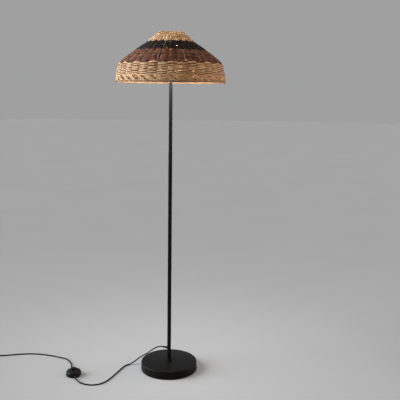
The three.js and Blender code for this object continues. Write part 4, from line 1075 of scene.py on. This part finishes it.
def make_bands():
    for name, slot, top, bottom, look in (
        ("black", "black_cane", crown_end, black_end, BLACK_WEAVE),
        ("brown", "brown_cane", black_end, brown_end, BROWN_WEAVE),
        ("skirt", "natural_cane", brown_end, open_row, SKIRT_WEAVE),
    ):
        band = Strands()
        weave_band(band, top, bottom, look)
        band.make("cane_" + name, slot, "weave_" + name)


def make_stakes():
    rods = Strands()
    stakes(rods, CROWN_ROWS_TOP, open_row)
    shown_stakes(rods, black_end, brown_end)
    rods.make("cane_stakes", "natural_cane")


def make_top_border():
    top = Strands()
    rope(top, BORDER_ROPE)
    rope(top, INNER_ROPE)
    top.make("cane_top_border", "natural_cane", "border_top")


def rim_layer(rim, sweep, lift, depth):
    """The stakes' ends, which lean over one way and run on inside the rim's rope."""
    spacing = TURN / STAKES
    t = np.linspace(0, 1, RIM_STEPS)
    drop = np.clip(t / RIM_DROP_SHARE, 0, 1)
    drop = drop * drop * (3 - 2 * drop)
    top = open_row - RIM_TUCK
    for k in range(STAKES * RIM_RODS):
        place = (k % RIM_RODS + 1 / 2) / RIM_RODS - 1 / 2
        stake = k // RIM_RODS + RIM_PHASE + RIM_BUNCH_SHARE * place
        start = float(warp(stake * spacing)) + rng.normal(0, RIM_SPREAD) * spacing
        reach = sweep * rng.uniform(*RIM_SWEEP_SHARES) * spacing
        angle = start + reach * t**RIM_SWEEP_POWER
        slope = top + (rim_end - top) * drop + (k % 3 - 1) * RIM_FAN * t
        height = lift * (1 - t) + (k % 2) * RIM_SWELL * np.sin(math.pi * t)
        points, outward = on_wall(slope, angle, height)
        rim.add(points, outward, rng.uniform(*RIM_WIDTHS), RIM_THICKNESS, depth=depth)


def make_rim():
    rim = Strands()
    for sweep, lift, depth in RIM_LAYERS:
        rim_layer(rim, sweep, lift, depth)
    rope(rim, RIM_ROPE)
    rim.make("cane_rim_border", "natural_cane", "border_rim")


def mark_lit(mesh):
    """Marks the canes that lie at the places where the bulb shows through."""
    places = np.empty(3 * len(mesh.vertices), np.float32)
    mesh.vertices.foreach_get("co", places)
    x, y, height = places.reshape(-1, 3).T
    angle, radius = np.arctan2(y, x), np.hypot(x, y)
    slope = slope_at(height)
    share = np.zeros(len(height))
    for turn in LIT_ROUNDS:
        for degrees, spot_height, strength in LIT_SPOTS:
            away = (angle - math.radians(degrees + turn) + math.pi) % TURN - math.pi
            past = slope - slope_at(spot_height)
            near = np.exp(-(away * radius / LIT_WIDTH) ** 2 - (past / LIT_HEIGHT) ** 2)
            share = np.maximum(share, strength * near)
    mark = mesh.attributes.new(LIT, "FLOAT", "POINT")
    mark.data.foreach_set("value", share.astype(np.float32))


make_crown()
make_bands()
make_stakes()
make_top_border()
make_rim()
for piece, slot in made:
    piece.data.materials.append(finishes[slot])
    if slot.endswith("cane"):
        mark_lit(piece.data)


# Stage and light

def in_view(tree):
    """1 for what the camera sees, on its own or in glossy and clear surfaces."""
    path = tree.nodes.new("ShaderNodeLightPath")
    shown = path.outputs["Is Camera Ray"]
    for ray in ("Is Glossy Ray", "Is Transmission Ray"):
        either = tree.nodes.new("ShaderNodeMath")
        either.operation = "MAXIMUM"
        tree.links.new(shown, either.inputs[0])
        tree.links.new(path.outputs[ray], either.inputs[1])
        shown = either.outputs["Value"]
    return shown


def make_floor():
    mesh = bpy.data.meshes.new("floor")
    angles = [TURN * i / FLOOR_SIDES for i in range(FLOOR_SIDES)]
    ring = [(FLOOR_RADIUS * math.cos(a), FLOOR_RADIUS * math.sin(a), 0) for a in angles]
    mesh.from_pydata(ring, [], [tuple(range(FLOOR_SIDES))])
    finish = Finish("floor_plain", FLOOR_COLOUR, roughness=1.0, Specular_IOR_Level=0.0)
    shown = finish.mix(finish.noise(FLOOR_PATCHES), FLOOR_COLOUR, FLOOR_PALER)
    finish.link(finish.mix(in_view(finish.tree), FLOOR_BOUNCE, shown), "Base Color")
    mesh.materials.append(finish.material)
    floor = add_object("floor", mesh)


def make_world():
    """A plain light from all round, and a plain grey where the camera sees past the floor."""
    world = bpy.data.worlds.new("world")
    bpy.context.scene.world = world
    world.use_nodes = True
    tree = world.node_tree
    tree.nodes.clear()
    mix, result = tree.nodes.new("ShaderNodeMixShader"), tree.nodes.new("ShaderNodeOutputWorld")
    looks = ((WORLD_COLOUR, WORLD_LIGHT), (BACKDROP_COLOUR, 1))
    for target, (colour, strength) in zip(mix.inputs[1:], looks, strict=True):
        plain = tree.nodes.new("ShaderNodeBackground")
        plain.inputs["Color"].default_value = colour
        plain.inputs["Strength"].default_value = strength
        tree.links.new(plain.outputs["Background"], target)
    tree.links.new(in_view(tree), mix.inputs["Fac"])
    tree.links.new(mix.outputs["Shader"], result.inputs["Surface"])


def add_light(name, kind, energy, colour):
    data = bpy.data.lights.new(name, kind)
    data.energy = energy
    data.color = colour
    return add_object(name, data)


def make_sun(look):
    """Light that comes from a heading and a height."""
    light = add_light(look.name, "SUN", look.strength, look.colour)
    light.data.angle = math.radians(look.spread)
    a, e = math.radians(look.heading), math.radians(look.height)
    back = Vector((math.cos(a) * math.cos(e), math.sin(a) * math.cos(e), math.sin(e)))
    light.rotation_euler = (-back).to_track_quat("-Z", "Y").to_euler()


def glow_ring(count, reach, height, power):
    """Some of what the bulb gives the inside of the shade."""
    for k in range(count):
        angle = TURN * (k + 1 / 2) / count
        light = add_light("glow", "POINT", power / count, BULB_LIGHT)
        light.data.shadow_soft_size = GLOW_SIZE
        light.location = (reach * math.cos(angle), reach * math.sin(angle), height)
        light.visible_camera = False


def make_pool():
    """What the bulb gives the floor and the base, through the shade's open foot."""
    light = add_light("pool", "AREA", POOL_POWER, POOL_COLOUR)
    light.data.shape = "DISK"
    light.data.size = POOL_SIZE
    light.location = POOL_PLACE
    light.visible_camera = False


make_floor()
make_world()
for look in SUNS:
    make_sun(look)
for ring in GLOW_RINGS:
    glow_ring(*ring)
make_pool()
bpy.context.scene.view_settings.view_transform = "Standard"
